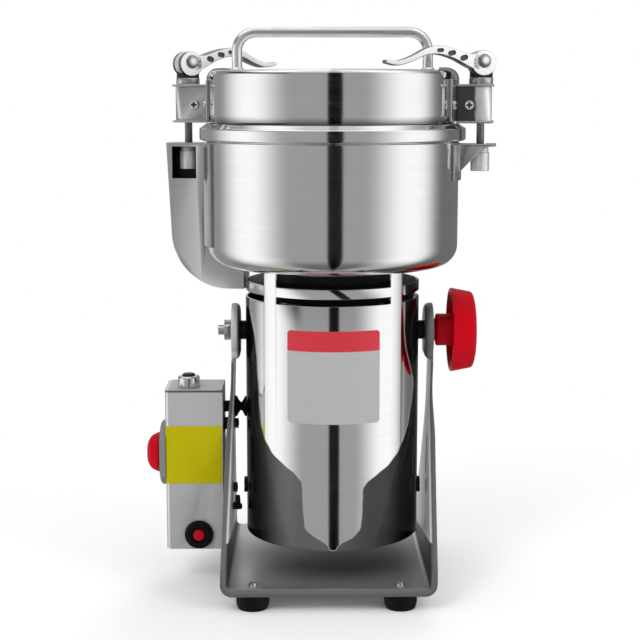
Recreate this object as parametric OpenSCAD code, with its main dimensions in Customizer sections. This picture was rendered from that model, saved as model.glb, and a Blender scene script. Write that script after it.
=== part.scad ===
// Tilting electric grain mill: a motor barrel and bowl that swing in a bent sheet stand.
// Millimetres, +X right, +Y back, +Z up; the origin is on the barrel axis at floor level.

/* [Stand] */
// Thickness of the bent stand sheet
sheet_t = 2.5; // [1.5:0.25:4]
// Height of the rubber feet
foot_h = 15; // [10:1:25]
// Diameter of the rubber feet
foot_d = 26; // [18:1:32]
// Distance between the feet from left to right
foot_pitch_x = 113; // [90:1:118]
// Depth of the base plate from front to back
base_depth = 180; // [180:1:230]
// Width of the stiffening flange along the sheet's edges
flange_w = 5.3; // [4:0.1:8]
// Width of the band round the ears
ear_band_w = 6.7; // [5:0.1:9]
// How far the front and rear flanges hang below the plate
flange_drop = 2.8; // [1:0.1:6]
// Radius of the round ears that carry the pivots
ear_r = 21.5; // [17:0.5:24]
// Width of each arm just below its ear
arm_neck_w = 31; // [28:1:36]
// How far both arms lean to the left from ear to plate
arm_lean = 4; // [0:0.5:5]

/* [Barrel] */
// Outer radius of the motor barrel
barrel_r = 68.7; // [60:0.1:76]
// Wall of the motor barrel
barrel_wall = 2; // [1.5:0.1:3]
// Height of the motor barrel with its slotted neck
barrel_h = 214.6; // [205:0.1:235]
// Free height between the base plate and the barrel
barrel_clear = 24.1; // [22:0.1:40]
// Height of the pivots above the barrel's bottom
pivot_up = 161.4; // [150:0.1:165]
// Thickness of the spacers between barrel and ears
pivot_spacer_t = 4; // [3:0.1:6]
// Height of the upper vent slot
slot_upper_h = 10; // [6:0.5:12]
// Height of the lower vent slot
slot_lower_h = 5; // [3:0.5:8]
// Height of the band between the two slots
slot_band_h = 7.7; // [5:0.1:9]
// Width of the pillars between the slots
pillar_w = 13; // [9:0.5:18]

/* [Bowl and lid] */
// Outer radius of the bowl
bowl_r = 98.6; // [92:0.1:104]
// Sheet thickness of the bowl
bowl_wall = 1.8; // [1.2:0.1:2.4]
// Height of the bowl
bowl_h = 110.1; // [105:0.1:140]
// Radius of the bowl's lower edge
bowl_edge_r = 16; // [12:0.5:20]
// Outward reach of the bowl's rolled rim
rim_reach = 5.2; // [4:0.1:6]
// Height of the rolled rim
rim_h = 12.3; // [10:0.1:16]
// How much smaller the lid's radius is than the bowl's
lid_inset = 2.6; // [2:0.1:4]
// Height of the lid
lid_h = 40; // [32:0.5:50]
// Radius of the lid's upper edge
lid_edge_r = 7; // [4:0.5:9]
// Sheet thickness of the lid
lid_wall = 1.5; // [1:0.1:2]
// Height of the carrying handle above the lid
handle_rise = 33.4; // [28:0.1:50]
// Diameter of the carrying handle's bar
handle_d = 8; // [6:0.5:10]
// Distance between the handle's legs
handle_span = 148; // [120:1:150]
// Outer bend radius of the handle
handle_bend_r = 20; // [14:1:24]

/* [Clamps] */
// Turn of the line through both clamps, right clamp forward
clamp_angle = 9; // [6:0.5:12]
// Distance of the clamp rods from the rim
clamp_reach = 11.2; // [10:0.1:14]
// Diameter of the clamp rods
rod_d = 6; // [5:0.5:7]
// Diameter of the nuts under the brackets
rod_nut_d = 14.4; // [12:0.2:15]
// Height of the nuts under the brackets
rod_nut_h = 18.4; // [12:0.2:20]
// Height of the clamp housings
housing_h = 26; // [22:0.5:30]
// Radius of the cam on each lever
cam_r = 9.6; // [8:0.1:10]
// Offset of the cam from its pin
cam_offset = 1.5; // [1:0.1:2]
// Overall width of the levers
lever_w = 16; // [14:0.5:18]
// Direction of the left lever, turned to the rear
left_lever_angle = 30; // [20:1:35]
// Direction of the right lever, turned to the front
right_lever_angle = 10; // [8:1:16]

/* [Control box] */
// Width of the control box
box_w = 45.5; // [42:0.5:60]
// Depth of the control box
box_d = 44; // [42:0.5:60]
// Height of the control box
box_h = 129.5; // [120:0.5:133]
// Height of the control box above the floor
box_z = 29; // [26:0.5:32]
// Sheet thickness of the control box
box_wall = 1.5; // [1:0.1:2]
// Diameter of the timer dial
dial_d = 52; // [46:1:56]
// Thickness of the timer dial
dial_t = 5; // [3:0.5:6]
// Diameter of the timer knob
timer_knob_d = 32; // [26:1:36]
// Length of the timer knob
timer_knob_l = 11.5; // [9:0.5:16]
// Diameter of the power button's chrome bezel
bezel_d = 17.2; // [15:0.2:20]
// Diameter of the reset button
reset_d = 9; // [7:0.5:11]
// Diameter of the black ring round the reset button
reset_ring_d = 22.7; // [20:0.1:24]

/* [Lock knob] */
// Diameter of the lock knob's wheel at its open side
knob_d = 67; // [56:1:72]
// Diameter of the lock knob's outer face
knob_face_d = 58; // [50:1:60]
// Width of the lock knob's wheel
knob_w = 19.1; // [16:0.1:26]
// Diameter of the lock knob's hub
hub_d = 25.6; // [22:0.2:28]

/* [Motor and blades] */
// Diameter of the motor shaft
shaft_d = 12; // [10:0.5:14]
// Radius of the armature
armature_r = 36; // [30:0.5:40]
// Reach of the lowest blade
blade_reach = 86; // [70:1:88]
// Height step from one blade to the next
blade_step = 18; // [14:0.5:20]

/* [Hidden] */
$fn = 96;

cut = 0.5;              // overshoot of every cutter
foot_edge = 0.3;        // play between the feet and the edges of the stand
run = 0.05;             // radial play of a shaft in its bore
seat = 0.03;            // play of a part pressed into its seat
wall_seat = 0.3;        // play of a part pressed into the barrel
gap = 0.3;              // clearance between moving neighbours
far = 400;              // longer than any part

// Heights
plate_z = foot_h + sheet_t;
barrel_z0 = plate_z + barrel_clear;
barrel_z1 = barrel_z0 + barrel_h;
pivot_z = barrel_z0 + pivot_up;
bowl_z0 = barrel_z1;
bowl_z1 = bowl_z0 + bowl_h;
lid_z0 = bowl_z1 + gap;
lid_z1 = lid_z0 + lid_h;
slot_top = barrel_z1 - 2.2;
slot_band_top = slot_top - slot_upper_h;
slot_band_low = slot_band_top - slot_band_h;
slot_low = slot_band_low - slot_lower_h;

// Radii and widths
barrel_in = barrel_r - barrel_wall;
rim_r = bowl_r + rim_reach;
lid_r = bowl_r - lid_inset;
mouth_r = lid_r - 6;
rod_r = rod_d / 2;
rod_x = rim_r + clamp_reach;
shaft_r = shaft_d / 2;
ear_x = barrel_r + pivot_spacer_t + gap;
arm_top = ear_x + ear_band_w - sheet_t;
base_left = arm_top + arm_lean;
base_right = arm_top - arm_lean;
base_mid = (base_right - base_left) / 2;
foot_mid = base_mid - 1.4;
foot_pitch_y = base_depth - foot_d;
foot_neck_r = foot_d / 2 - sheet_t - foot_edge;

// Stand details
ear_low = pivot_z - ear_r;
edge_start = ear_low - 16.5;
edge_full = ear_low - 61.5;
lip_low = foot_h - flange_drop;
flare_top = ear_low - 36;
flare_low = plate_z + 10.5;
flare_power = 1.15;
arm_inset = 0.8;
base_corner_r = 6.5;
screw_head_d = 7;
screw_head_h = 2;
screw_d = 4;

// Plate on the barrel
rating_low = barrel_z0 + 0.463 * barrel_h;
rating_h = barrel_h / 3;
rating_t = 0.35;
rating_half_a = 30.5;

// Pivot details
stud_r = 4;
stud_head_r = 9;
spacer_r = 7.5;
pivot_nut_d = 16.6;
pivot_nut_w = 10;
stud_end = 5.2;
knob_bore = 18;

// Control box details
box_x1 = -(base_left + flange_w + gap);
box_x0 = box_x1 - box_w;
box_top_z = box_z + box_h;
box_front = -box_d / 2;
dial_z = box_z + 74.5;
power_x = box_x0 + 18.2;
power_y = -7;
bezel_h = 9;
reset_x = box_x0 + 25.9;
reset_z = box_z + 12.3;
cable_z = pivot_z - 62;
cable_r = 4.5;
spacer_z = [cable_z - 14, box_z + 45];
arm_play = 0.2;         // keeps straight parts off the leaning arm
label_low = box_z + 54;
label_h = 46.5;

// Clamp details
bracket_z = bowl_z1 - rim_h - 3;
bracket_t = 2.2;
fork_play = 0.9;
flange_t = 1.8;
housing_z = lid_z0 + flange_t;
housing_top = housing_z + housing_h + flange_t;
collar_h = 5;
collar_top = housing_top + collar_h;
cradle_base = 1;
cam_gap = 0.3;
pin_z = collar_top + cradle_base + cam_r + cam_offset + cam_gap;
pin_r = 3;
pin_head_r = 5.2;
eye_r = 6.5;
eye_w = 6.4;
cheek_gap = eye_w + 2 * gap;
strap_t = 2.2;
strap_r = lid_r + strap_t;
housing_d = 26;
housing_in = strap_r;
housing_out = rod_x + 8.2;

// Bowl bracket details
saddle_t = 2;
bracket_d = 24;
bracket_in = bowl_r + 0.1;
handle_leg_out = rod_x + 15.5;
handle_low = barrel_z1 - 20.2;
handle_turn_r = 45;

// Motor details
upper_bearing_z = slot_band_low - 4;
lower_bearing_z = barrel_z0 + 12.4;
bearing_h = 10;
bearing_r = 16;
brush_z = barrel_z0 + 34.8;
brush_w = 6;
brush_bore = 8.6;
commutator_r = 17;
boss_h = 8;
boss_r = 46;
fan_h = 16;
fan_clear = 19.3;        // air between the fan and the upper bracket
coil_h = 14;
coil_clear = 14;        // air between the windings and the fan
stack_low = 63.4;       // height of the stack above the barrel's bottom
fan_z = slot_band_low - boss_h - fan_clear - fan_h;
stack_z0 = barrel_z0 + stack_low;
stack_h = fan_z - coil_clear - coil_h - stack_z0;
shaft_top = bowl_z0 + 62;
blade_z0 = bowl_z0 + 9;
blade_t = 2.6;

// ---------- shared shapes ----------

// Upright prism whose outline is drawn in the Y-Z plane, from x0 over width w
module side_prism(x0, w) {
    translate([x0, 0, 0]) rotate([90, 0, 90]) linear_extrude(w) children();
}

// Upright prism whose outline is drawn in the X-Z plane, centred on Y
module front_prism(w) {
    rotate([90, 0, 0]) linear_extrude(w, center = true) children();
}

// Cylinder along X that starts at x0
module x_cyl(x0, l, r) {
    translate([x0, 0, 0]) rotate([0, 90, 0]) cylinder(h = l, r = r);
}

// Ring with its own bore, standing on z0
module ring(z0, h, r_out, r_in) {
    translate([0, 0, z0]) difference() {
        cylinder(h = h, r = r_out);
        translate([0, 0, -cut]) cylinder(h = h + 2 * cut, r = r_in);
    }
}

// Half outline of a can with a rounded lower edge
module can_half(r, h, edge) {
    translate([0, edge]) square([r, h - edge]);
    square([r - edge, h]);
    translate([r - edge, edge]) circle(edge);
}

// Wedge about the Z axis, half_a each side of the direction dir
module wedge(dir, half_a, z0, h) {
    translate([0, 0, z0]) rotate([0, 0, dir]) linear_extrude(h)
        polygon([[0, 0], [far * cos(half_a), -far * sin(half_a)], [far * cos(half_a), far * sin(half_a)]]);
}

// Slot with round ends, drawn flat; its long way is Y
module slot_2d(w, l) {
    square([w, l - w], center = true);
    for (s = [-1, 1]) translate([0, s * (l - w) / 2]) circle(w / 2);
}

// Pan-head screw pointing down, head above z = 0
module screw(head_d, head_h, d, l) {
    difference() {
        cylinder(h = head_h, r1 = head_d / 2, r2 = head_d / 2 - head_h / 3);
        for (a = [0, 90])
            rotate([0, 0, a]) translate([-head_d * 0.3, -head_d * 0.07, head_h * 0.5])
                cube([head_d * 0.6, head_d * 0.14, head_h]);
    }
    translate([0, 0, -l]) cylinder(h = l + 0.1, r = d / 2);
}

// Puts a child at a clamp: side 1 is the right one, -1 the left one
module at_clamp(side) {
    rotate([0, 0, side > 0 ? -clamp_angle : 180 - clamp_angle]) children();
}

// ---------- stand ----------

// Half width of an arm at height z
function arm_half(z) =
    let (t = max(0, min(1, (flare_top - z) / (flare_top - flare_low))))
    arm_neck_w / 2 + (base_depth / 2 - arm_inset - arm_neck_w / 2) * pow(t, flare_power);

// Distance of an arm's inner face from the barrel axis at height z; low_in is that at the plate
function arm_face(low_in, z) =
    low_in + (arm_top - low_in) * max(0, (z - plate_z) / (ear_low - plate_z));

// Side outline of an arm below its ear, shrunk by inset
module arm_outline(inset, bottom) {
    step = 6;
    rows = [for (z = [bottom : step : flare_top]) z];
    top = ear_low + 2 * sheet_t;
    polygon(concat(
        [for (z = rows) [arm_half(z) - inset * (z > flare_low ? 1.2 : 1), z]],
        [[arm_neck_w / 2 - inset, top], [-(arm_neck_w / 2 - inset), top]],
        [for (i = [len(rows) - 1 : -1 : 0])
            [-(arm_half(rows[i]) - inset * (rows[i] > flare_low ? 1.2 : 1)), rows[i]]]));
}

// Side outline of an ear, shrunk by inset
module ear_outline(inset) {
    translate([0, pivot_z]) circle(ear_r - inset);
    translate([inset - arm_neck_w / 2, ear_low + inset]) square([arm_neck_w - 2 * inset, ear_r]);
}

// Slanted front outline of an arm: w_low is its width below, w_high that at height high
module arm_strip(low_in, w_low, w_high, bend, high) {
    polygon([[low_in, lip_low], [low_in + w_low, lip_low], [low_in + w_low, plate_z],
        [arm_face(low_in, bend) + w_low, bend], [arm_face(low_in, high) + w_high, high],
        [arm_face(low_in, high), high], [low_in, plate_z]]);
}

// One arm on the +X side: a leaning sheet with flanged edges, and a dished ear on top
module arm(low_in) {
    intersection() {
        front_prism(far) arm_strip(low_in, sheet_t, sheet_t, edge_full, ear_low + sheet_t / 2);
        side_prism(0, far) arm_outline(0, lip_low);
    }
    intersection() {
        front_prism(far) arm_strip(low_in, flange_w, sheet_t, edge_full, edge_start);
        side_prism(0, far) difference() {
            arm_outline(0, lip_low);
            arm_outline(sheet_t, lip_low - cut);
        }
    }
    side_prism(ear_x, sheet_t) ear_outline(0);
    side_prism(ear_x, ear_band_w) difference() {
        ear_outline(0);
        ear_outline(sheet_t);
    }
}

// Front outline that rounds the lower corners of the stand
module stand_front() {
    left = -(base_left + flange_w);
    wide = base_left + base_right + 2 * flange_w;
    r = base_corner_r;
    translate([left - 5, lip_low + r]) square([wide + 10, far]);
    translate([left + r, lip_low]) square([wide - 2 * r, far]);
    for (x = [left + r, left + wide - r]) translate([x, lip_low + r]) circle(r);
}

module base_frame() color("silver") difference() {
    intersection() {
        union() {
            arm(base_right);
            mirror([1, 0, 0]) arm(base_left);
            translate([-(base_left + sheet_t / 2), -base_depth / 2, foot_h])
                cube([base_left + base_right + sheet_t, base_depth, sheet_t]);
            for (s = [0, 1]) mirror([0, s, 0])
                translate([-base_left - flange_w, -base_depth / 2, lip_low])
                    cube([base_left + base_right + 2 * flange_w, sheet_t, sheet_t + flange_drop]);
        }
        front_prism(far) stand_front();
    }
    // Pivot bores
    translate([0, 0, pivot_z]) x_cyl(-far / 2, far, stud_r + run);
    // Holes for the control box and its lead
    translate([0, 0, cable_z]) x_cyl(-far / 2, far / 2, cable_r + 2);
    for (z = spacer_z) translate([0, 0, z]) x_cyl(-far / 2, far / 2, screw_d / 2 + run);
    // Lightening slot and hole in each arm
    for (x = [-far / 2, 0]) {
        side_prism(x, far / 2) translate([-12, plate_z + 87]) slot_2d(9, 34);
        side_prism(x, far / 2) translate([-18, plate_z + 61]) slot_2d(9, 13);
    }
    at_feet() translate([0, 0, foot_h - cut]) cylinder(h = sheet_t + 2 * cut, r = screw_d / 2 + run);
}

// Places a child at each of the four feet
module at_feet() {
    for (sx = [-1, 1], sy = [-1, 1])
        translate([foot_mid + sx * foot_pitch_x / 2, sy * foot_pitch_y / 2, 0]) children();
}

module rubber_feet() color([0.06, 0.06, 0.06]) at_feet() difference() {
    union() {
        cylinder(h = 2, r1 = foot_d / 2 - 1.2, r2 = foot_d / 2);
        translate([0, 0, 2]) cylinder(h = lip_low - foot_edge - 2, r = foot_d / 2);
        cylinder(h = foot_h, r = foot_neck_r);
    }
    translate([0, 0, -cut]) cylinder(h = 5 + cut, r = screw_head_d / 2 + 1);
    translate([0, 0, 4]) cylinder(h = foot_h, r = screw_d / 2 + run);
}

module foot_screws() color("gainsboro") at_feet()
    translate([0, 0, plate_z]) screw(screw_head_d, screw_head_h, screw_d, foot_h - 2);

// ---------- control box ----------

module box_body(x0, x1, y0, y1, z0, z1, r) {
    difference() {
        translate([x0, y0, z0]) cube([x1 - x0, y1 - y0, z1 - z0]);
        for (sy = [0, 1]) translate([x0, sy ? y1 : y0, z0 - cut]) mirror([0, sy, 0]) difference() {
            translate([-cut, -cut, 0]) cube([r + cut, r + cut, z1 - z0 + 2 * cut]);
            translate([r, r, -cut]) cylinder(h = z1 - z0 + 4 * cut, r = r);
        }
    }
}

module box_shell() color([0.68, 0.69, 0.7]) difference() {
    box_body(box_x0, box_x1, box_front, -box_front, box_z, box_top_z - box_wall, 4);
    translate([0, 0, box_wall])
        box_body(box_x0 + box_wall, box_x1 - box_wall, box_front + box_wall, -box_front - box_wall,
            box_z, box_top_z, 3);
    translate([0, 0, dial_z]) x_cyl(box_x0 - cut, box_wall + 2 * cut, 6);
    translate([reset_x, box_front - cut, reset_z]) rotate([-90, 0, 0]) cylinder(h = box_wall + 2 * cut, r = 6);
    translate([0, 0, cable_z]) x_cyl(box_x1 - box_wall - cut, box_wall + 2 * cut, cable_r + run);
    for (z = spacer_z) translate([0, 0, z])
        x_cyl(box_x1 - box_wall - cut, box_wall + 2 * cut, screw_d / 2 + run);
}

module box_top() color([0.68, 0.69, 0.7]) difference() {
    union() {
        box_body(box_x0, box_x1, box_front, -box_front, box_top_z - box_wall, box_top_z, 4);
        translate([box_x0 + box_wall + 0.2, box_front + box_wall + 0.2, box_top_z - 6])
            difference() {
                cube([box_w - 2 * box_wall - 0.4, box_d - 2 * box_wall - 0.4, 5]);
                translate([1.2, 1.2, -cut])
                    cube([box_w - 2 * box_wall - 2.8, box_d - 2 * box_wall - 2.8, 5 + 2 * cut]);
                for (sx = [0, 1], sy = [0, 1]) // keeps clear of the rounded corners
                    translate([sx * (box_w - 2 * box_wall - 3), sy * (box_d - 2 * box_wall - 3), -cut])
                        cube([3, 3, 5 + 2 * cut]);
            }
    }
    translate([power_x, power_y, box_top_z - box_wall - cut]) cylinder(h = box_wall + 2 * cut, r = bezel_d / 2 - 2);
}

// Sleeves between the box and the arm, each with its screw and nut
module box_spacers() color([0.1, 0.1, 0.1]) for (z = spacer_z) {
    arm_in = arm_face(base_left, z) - arm_play;
    x0 = box_x1;
    x1 = -(arm_in + sheet_t + 2 * arm_play);
    head_x = x0 - box_wall - 3;
    translate([0, 0, z]) {
        x_cyl(x0, x1 - x0, 5);
        x_cyl(head_x, -arm_in + 3.5 - head_x, screw_d / 2);
        x_cyl(head_x, 3, 3.6);
        translate([-arm_in, 0, 0]) rotate([0, 90, 0]) cylinder(h = 3.2, r = 4.1, $fn = 6);
    }
}

module box_label() color([0.78, 0.73, 0.05])
    translate([box_x0 + 0.6 + 3.4, box_front - 0.25, label_low]) cube([box_w - 4.6, 0.25, label_h]);

module timer_dial() color([0.72, 0.72, 0.73]) translate([0, 0, dial_z]) difference() {
    intersection() {
        union() {
            x_cyl(box_x0 - dial_t + 1.5, dial_t - 1.5, dial_d / 2);
            translate([box_x0 - dial_t, 0, 0]) rotate([0, 90, 0])
                cylinder(h = 1.5, r1 = dial_d / 2 - 2, r2 = dial_d / 2);
        }
        translate([box_x0 - dial_t - cut, box_front + 1, -dial_d]) cube([dial_t + cut, box_d - 2, 2 * dial_d]);
    }
    x_cyl(box_x0 - dial_t - cut, dial_t + 2 * cut, 6);
}

// Timer mechanism with its threaded neck in the box wall
module timer_body() color([0.25, 0.25, 0.27]) translate([0, 0, dial_z]) difference() {
    union() {
        translate([box_x0 + box_wall, -16, -18]) cube([22, 32, 36]);
        x_cyl(box_x0 - dial_t, box_wall + dial_t + 1, 6 - seat);
    }
    x_cyl(box_x0 - dial_t - cut, dial_t + 16, 3 + run);
}

module timer_knob() color([0.78, 0.0, 0.08]) translate([0, 0, dial_z]) {
    face = box_x0 - dial_t - gap;
    difference() {
        union() {
            x_cyl(face - timer_knob_l + 2, timer_knob_l - 2, timer_knob_d / 2);
            translate([face - timer_knob_l, 0, 0]) rotate([0, 90, 0])
                cylinder(h = 2, r1 = timer_knob_d / 2 - 3, r2 = timer_knob_d / 2);
        }
        x_cyl(face - 6, 6 + cut, timer_knob_d / 2 - 2);
        for (a = [0 : 30 : 330]) rotate([a, 0, 0]) // grip flutes
            translate([0, timer_knob_d / 2 + 1.6, 0]) x_cyl(face - timer_knob_l - cut, timer_knob_l + 2 * cut, 2.2);
    }
    x_cyl(face - timer_knob_l + 2, timer_knob_l + 12, 3);
    x_cyl(face - 6.2, 6, 5);
}

module power_switch() color("silver") translate([power_x, power_y, 0]) difference() {
    union() {
        translate([0, 0, box_top_z]) cylinder(h = bezel_h - 1, r = bezel_d / 2);
        translate([0, 0, box_top_z + bezel_h - 1]) cylinder(h = 1, r1 = bezel_d / 2, r2 = bezel_d / 2 - 1);
        translate([0, 0, box_top_z - 22]) cylinder(h = 22.1, r = bezel_d / 2 - 2 - run);
    }
    translate([0, 0, box_top_z - 16]) cylinder(h = far, r = bezel_d / 2 - 3.5);
}

module power_button() color([0.05, 0.05, 0.05]) translate([power_x, power_y, 0]) {
    top = box_top_z + bezel_h + 1.8;
    r = bezel_d / 2 - 3.5 - run;
    translate([0, 0, top - 0.8]) cylinder(h = 0.8, r1 = r, r2 = r - 0.8);
    translate([0, 0, top - 18]) cylinder(h = 17.2, r = r);
}

module overload_breaker() color([0.12, 0.12, 0.13]) translate([reset_x, 0, reset_z]) difference() {
    union() {
        translate([-9, box_front + box_wall, -9.5]) cube([18, 24, 25]);
        translate([0, box_front - 1.5, 0]) rotate([-90, 0, 0]) cylinder(h = box_wall + 2, r = 6 - seat);
    }
    translate([0, box_front - 5, 0]) rotate([-90, 0, 0]) cylinder(h = 20, r = reset_d / 2 + run);
}

// Rubber ring that surrounds the reset button
module reset_boot() color([0.04, 0.04, 0.04])
    translate([reset_x, box_front, reset_z]) rotate([90, 0, 0]) difference() {
        union() {
            cylinder(h = 2.4, r = reset_ring_d / 2);
            translate([0, 0, 2.4]) cylinder(h = 1.6, r1 = reset_ring_d / 2, r2 = reset_ring_d / 2 - 2.4);
        }
        translate([0, 0, -cut]) cylinder(h = 6, r = 6);
    }

module reset_button() color([0.8, 0.02, 0.05])
    translate([reset_x, box_front + 12, reset_z]) rotate([90, 0, 0]) {
        cylinder(h = 16, r = reset_d / 2);
        translate([0, 0, 16]) cylinder(h = 0.8, r1 = reset_d / 2, r2 = reset_d / 2 - 0.8);
    }

module terminal_block() color([0.85, 0.85, 0.8]) difference() {
    translate([box_x0 + 8, -box_front - box_wall - 12, box_z + 30]) cube([30, 12, 14]);
    for (i = [0 : 2]) translate([box_x0 + 13 + 10 * i, -box_front - box_wall - 6, box_z + 36])
        cylinder(h = 20, r = 2.2);
}

// ---------- lead and gland on the left arm ----------

module cable_grommet() color([0.05, 0.05, 0.05]) {
    arm_in = arm_face(base_left, cable_z) - arm_play;
    r = cable_r + 2 - run;
    translate([0, 0, cable_z]) difference() {
        union() {
            x_cyl(-arm_in - sheet_t, sheet_t + 1, r);
            translate([-arm_in, 0, 0]) rotate([0, 90, 0]) cylinder(h = 2.4, r1 = r + 2.6, r2 = r + 1);
        }
        x_cyl(-far / 2, far, cable_r + run);
    }
}

// Lead from the box through the arm to the barrel; its slack lies in the box
module motor_cable() color([0.04, 0.04, 0.04]) translate([0, 0, cable_z])
    x_cyl(box_x1 - 12, -box_x1 + 12 - barrel_r - gap, cable_r);

// Gland for the mains lead, screwed into the left arm
module mains_gland() color([0.05, 0.05, 0.05]) {
    z = box_z + 31.5;
    y = -3;
    arm_in = arm_face(base_left, z);
    translate([0, y, z]) difference() {
        union() {
            translate([-arm_in + 0.4, 0, -3.5]) cylinder(h = 3.6, r = 3.6);
            translate([-arm_in + 3.9, 0, -3.5]) cylinder(h = 3.6, r = 3.6);
            translate([-arm_in + 3.9, 0, 0]) cylinder(h = 7.4, r1 = 2.4, r2 = 1.9);
            x_cyl(-arm_in + 0.2, 4, 1.8);
        }
        translate([-far - arm_in + 0.25, -far / 2, -far / 2]) cube([far, far, far]);
        translate([-arm_in + 3.9, 0, -5]) cylinder(h = 20, r = 1.2);
    }
}

// ---------- barrel ----------

module barrel_shell() color("silver") difference() {
    ring(barrel_z0, barrel_h, barrel_r, barrel_in);
    // Vent slots between four pillars
    difference() {
        union() {
            ring(slot_low, slot_lower_h, barrel_r + 1, barrel_in - 1);
            ring(slot_band_top, slot_upper_h, barrel_r + 1, barrel_in - 1);
        }
        for (a = [45, 135]) rotate([0, 0, a])
            translate([-barrel_r - 5, -pillar_w / 2, slot_low - 1])
                cube([2 * barrel_r + 10, pillar_w, barrel_z1 - slot_low]);
    }
    // Pivot studs, brush caps and the lead
    translate([0, 0, pivot_z]) x_cyl(-far / 2, far, stud_r + seat);
    translate([0, 0, brush_z]) x_cyl(-far / 2, far, brush_bore / 2 + 1.4);
    translate([0, 0, cable_z]) x_cyl(-far / 2, far / 2, cable_r);
}

module barrel_floor() color([0.2, 0.2, 0.21]) difference() {
    translate([0, 0, barrel_z0]) cylinder(h = 2, r = barrel_in - wall_seat);
    for (a = [0 : 45 : 315]) rotate([0, 0, a]) translate([34, 0, barrel_z0 - cut])
        linear_extrude(3) rotate([0, 0, 90]) slot_2d(6, 32);
}

// Bare plate on the front of the barrel
module rating_label() color([0.72, 0.72, 0.73]) intersection() {
    ring(rating_low, rating_h, barrel_r + rating_t, barrel_r + seat);
    wedge(-90, rating_half_a, 0, far);
}

module stator_core() color([0.45, 0.45, 0.47]) difference() {
    translate([0, 0, stack_z0]) cylinder(h = stack_h, r = barrel_in - wall_seat);
    translate([0, 0, stack_z0 - cut]) cylinder(h = stack_h + 2 * cut, r = armature_r + 0.6);
    for (a = [0 : 60 : 300]) rotate([0, 0, a])
        translate([barrel_in - 6, -9, stack_z0 - cut]) cube([far, 18, stack_h + 2 * cut]);
}

module stator_windings() color([0.6, 0.3, 0.12])
    for (z = [stack_z0 - coil_h, stack_z0 + stack_h]) translate([0, 0, z])
        rotate_extrude() translate([armature_r + 6, 0]) {
            translate([3, 0]) square([12, coil_h]);
            translate([0, 3]) square([18, coil_h - 6]);
            for (x = [3, 15], y = [3, coil_h - 3]) translate([x, y]) circle(3, $fn = 32);
        }

// Bearing bracket that closes the neck and carries the bowl
module upper_bracket() color([0.1, 0.1, 0.11]) difference() {
    union() {
        translate([0, 0, slot_band_low]) cylinder(h = slot_band_h, r = barrel_in - wall_seat);
        translate([0, 0, slot_band_low - boss_h]) cylinder(h = bowl_z0 - slot_band_low + boss_h, r = boss_r);
    }
    translate([0, 0, upper_bearing_z]) cylinder(h = bearing_h, r = bearing_r + seat);
    translate([0, 0, slot_band_low - boss_h - cut]) cylinder(h = far, r = shaft_r + 3);
    translate([0, 0, slot_band_low - boss_h - cut])
        cylinder(h = upper_bearing_z - slot_band_low + boss_h + 2 * cut, r = bearing_r - 2);
}

module lower_bracket() color([0.3, 0.3, 0.31]) difference() {
    union() {
        translate([0, 0, lower_bearing_z + 4]) cylinder(h = 6, r = barrel_in - wall_seat);
        translate([0, 0, lower_bearing_z - 2]) cylinder(h = 12, r = bearing_r + 6);
        for (s = [-1, 1]) // posts under the brush holders
            translate([s * 45 - 5, -7, lower_bearing_z + 9])
                cube([10, 14, brush_z - brush_bore / 2 - 2 - lower_bearing_z - 9]);
    }
    translate([0, 0, lower_bearing_z]) cylinder(h = bearing_h, r = bearing_r + seat);
    translate([0, 0, lower_bearing_z - 3]) cylinder(h = 4, r = bearing_r - 3);
    for (a = [45 : 90 : 315]) rotate([0, 0, a]) translate([44, 0, lower_bearing_z])
        linear_extrude(20) rotate([0, 0, 0]) slot_2d(16, 40);
}

module bearings() color("gainsboro")
    for (z = [upper_bearing_z, lower_bearing_z]) ring(z, bearing_h, bearing_r, shaft_r + run);

module brush_holders() color([0.75, 0.6, 0.25])
    for (s = [0, 180]) rotate([0, 0, s]) translate([0, 0, brush_z]) difference() {
        x_cyl(commutator_r + 5, barrel_in - commutator_r - 5.5, brush_bore / 2 + 2);
        x_cyl(0, far, brush_bore / 2);
    }

module brushes() color([0.15, 0.15, 0.15])
    for (s = [0, 180]) rotate([0, 0, s]) translate([commutator_r + gap, -brush_w / 2, brush_z - brush_w / 2])
        cube([barrel_in - commutator_r - 8, brush_w, brush_w]);

module brush_caps() color([0.04, 0.04, 0.04])
    for (s = [0, 180]) rotate([0, 0, s]) translate([0, 0, brush_z]) difference() {
        union() {
            x_cyl(barrel_in - 4, barrel_wall + 5, brush_bore / 2 - seat);
            x_cyl(barrel_in - 0.4, barrel_wall + 0.6, brush_bore / 2 + 1.2);
            x_cyl(barrel_r + 0.2, 2, 6.4);
        }
        translate([barrel_r + 1.6, -far / 2, -0.6]) cube([far, far, 1.2]);
    }

module pivot_studs() color("gainsboro") translate([0, 0, pivot_z]) {
    x_cyl(-ear_x - sheet_t - pivot_nut_w - stud_end, ear_x - barrel_in + sheet_t + pivot_nut_w + stud_end, stud_r);
    x_cyl(barrel_in, ear_x - barrel_in + sheet_t + knob_bore, stud_r);
    for (s = [0, 180]) rotate([0, 0, s]) intersection() {
        x_cyl(barrel_in - 4, 4, stud_head_r);
        translate([0, 0, -20]) rotate([0, 0, 0]) cylinder(h = 40, r = barrel_in - wall_seat);
    }
}

module pivot_spacers() color([0.08, 0.08, 0.08]) translate([0, 0, pivot_z])
    for (s = [0, 180]) rotate([0, 0, s]) difference() {
        x_cyl(barrel_r - 1, pivot_spacer_t + 1, spacer_r);
        x_cyl(0, far, stud_r + seat);
        translate([0, 0, -20]) cylinder(h = 40, r = barrel_r + seat);
    }

module pivot_nut() color([0.5, 0.5, 0.52]) translate([0, 0, pivot_z]) difference() {
    translate([-ear_x - sheet_t - gap - pivot_nut_w, 0, 0]) rotate([0, 90, 0])
        cylinder(h = pivot_nut_w, r = pivot_nut_d / 2, $fn = 6);
    x_cyl(-far / 2, far, stud_r + seat);
}

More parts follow.
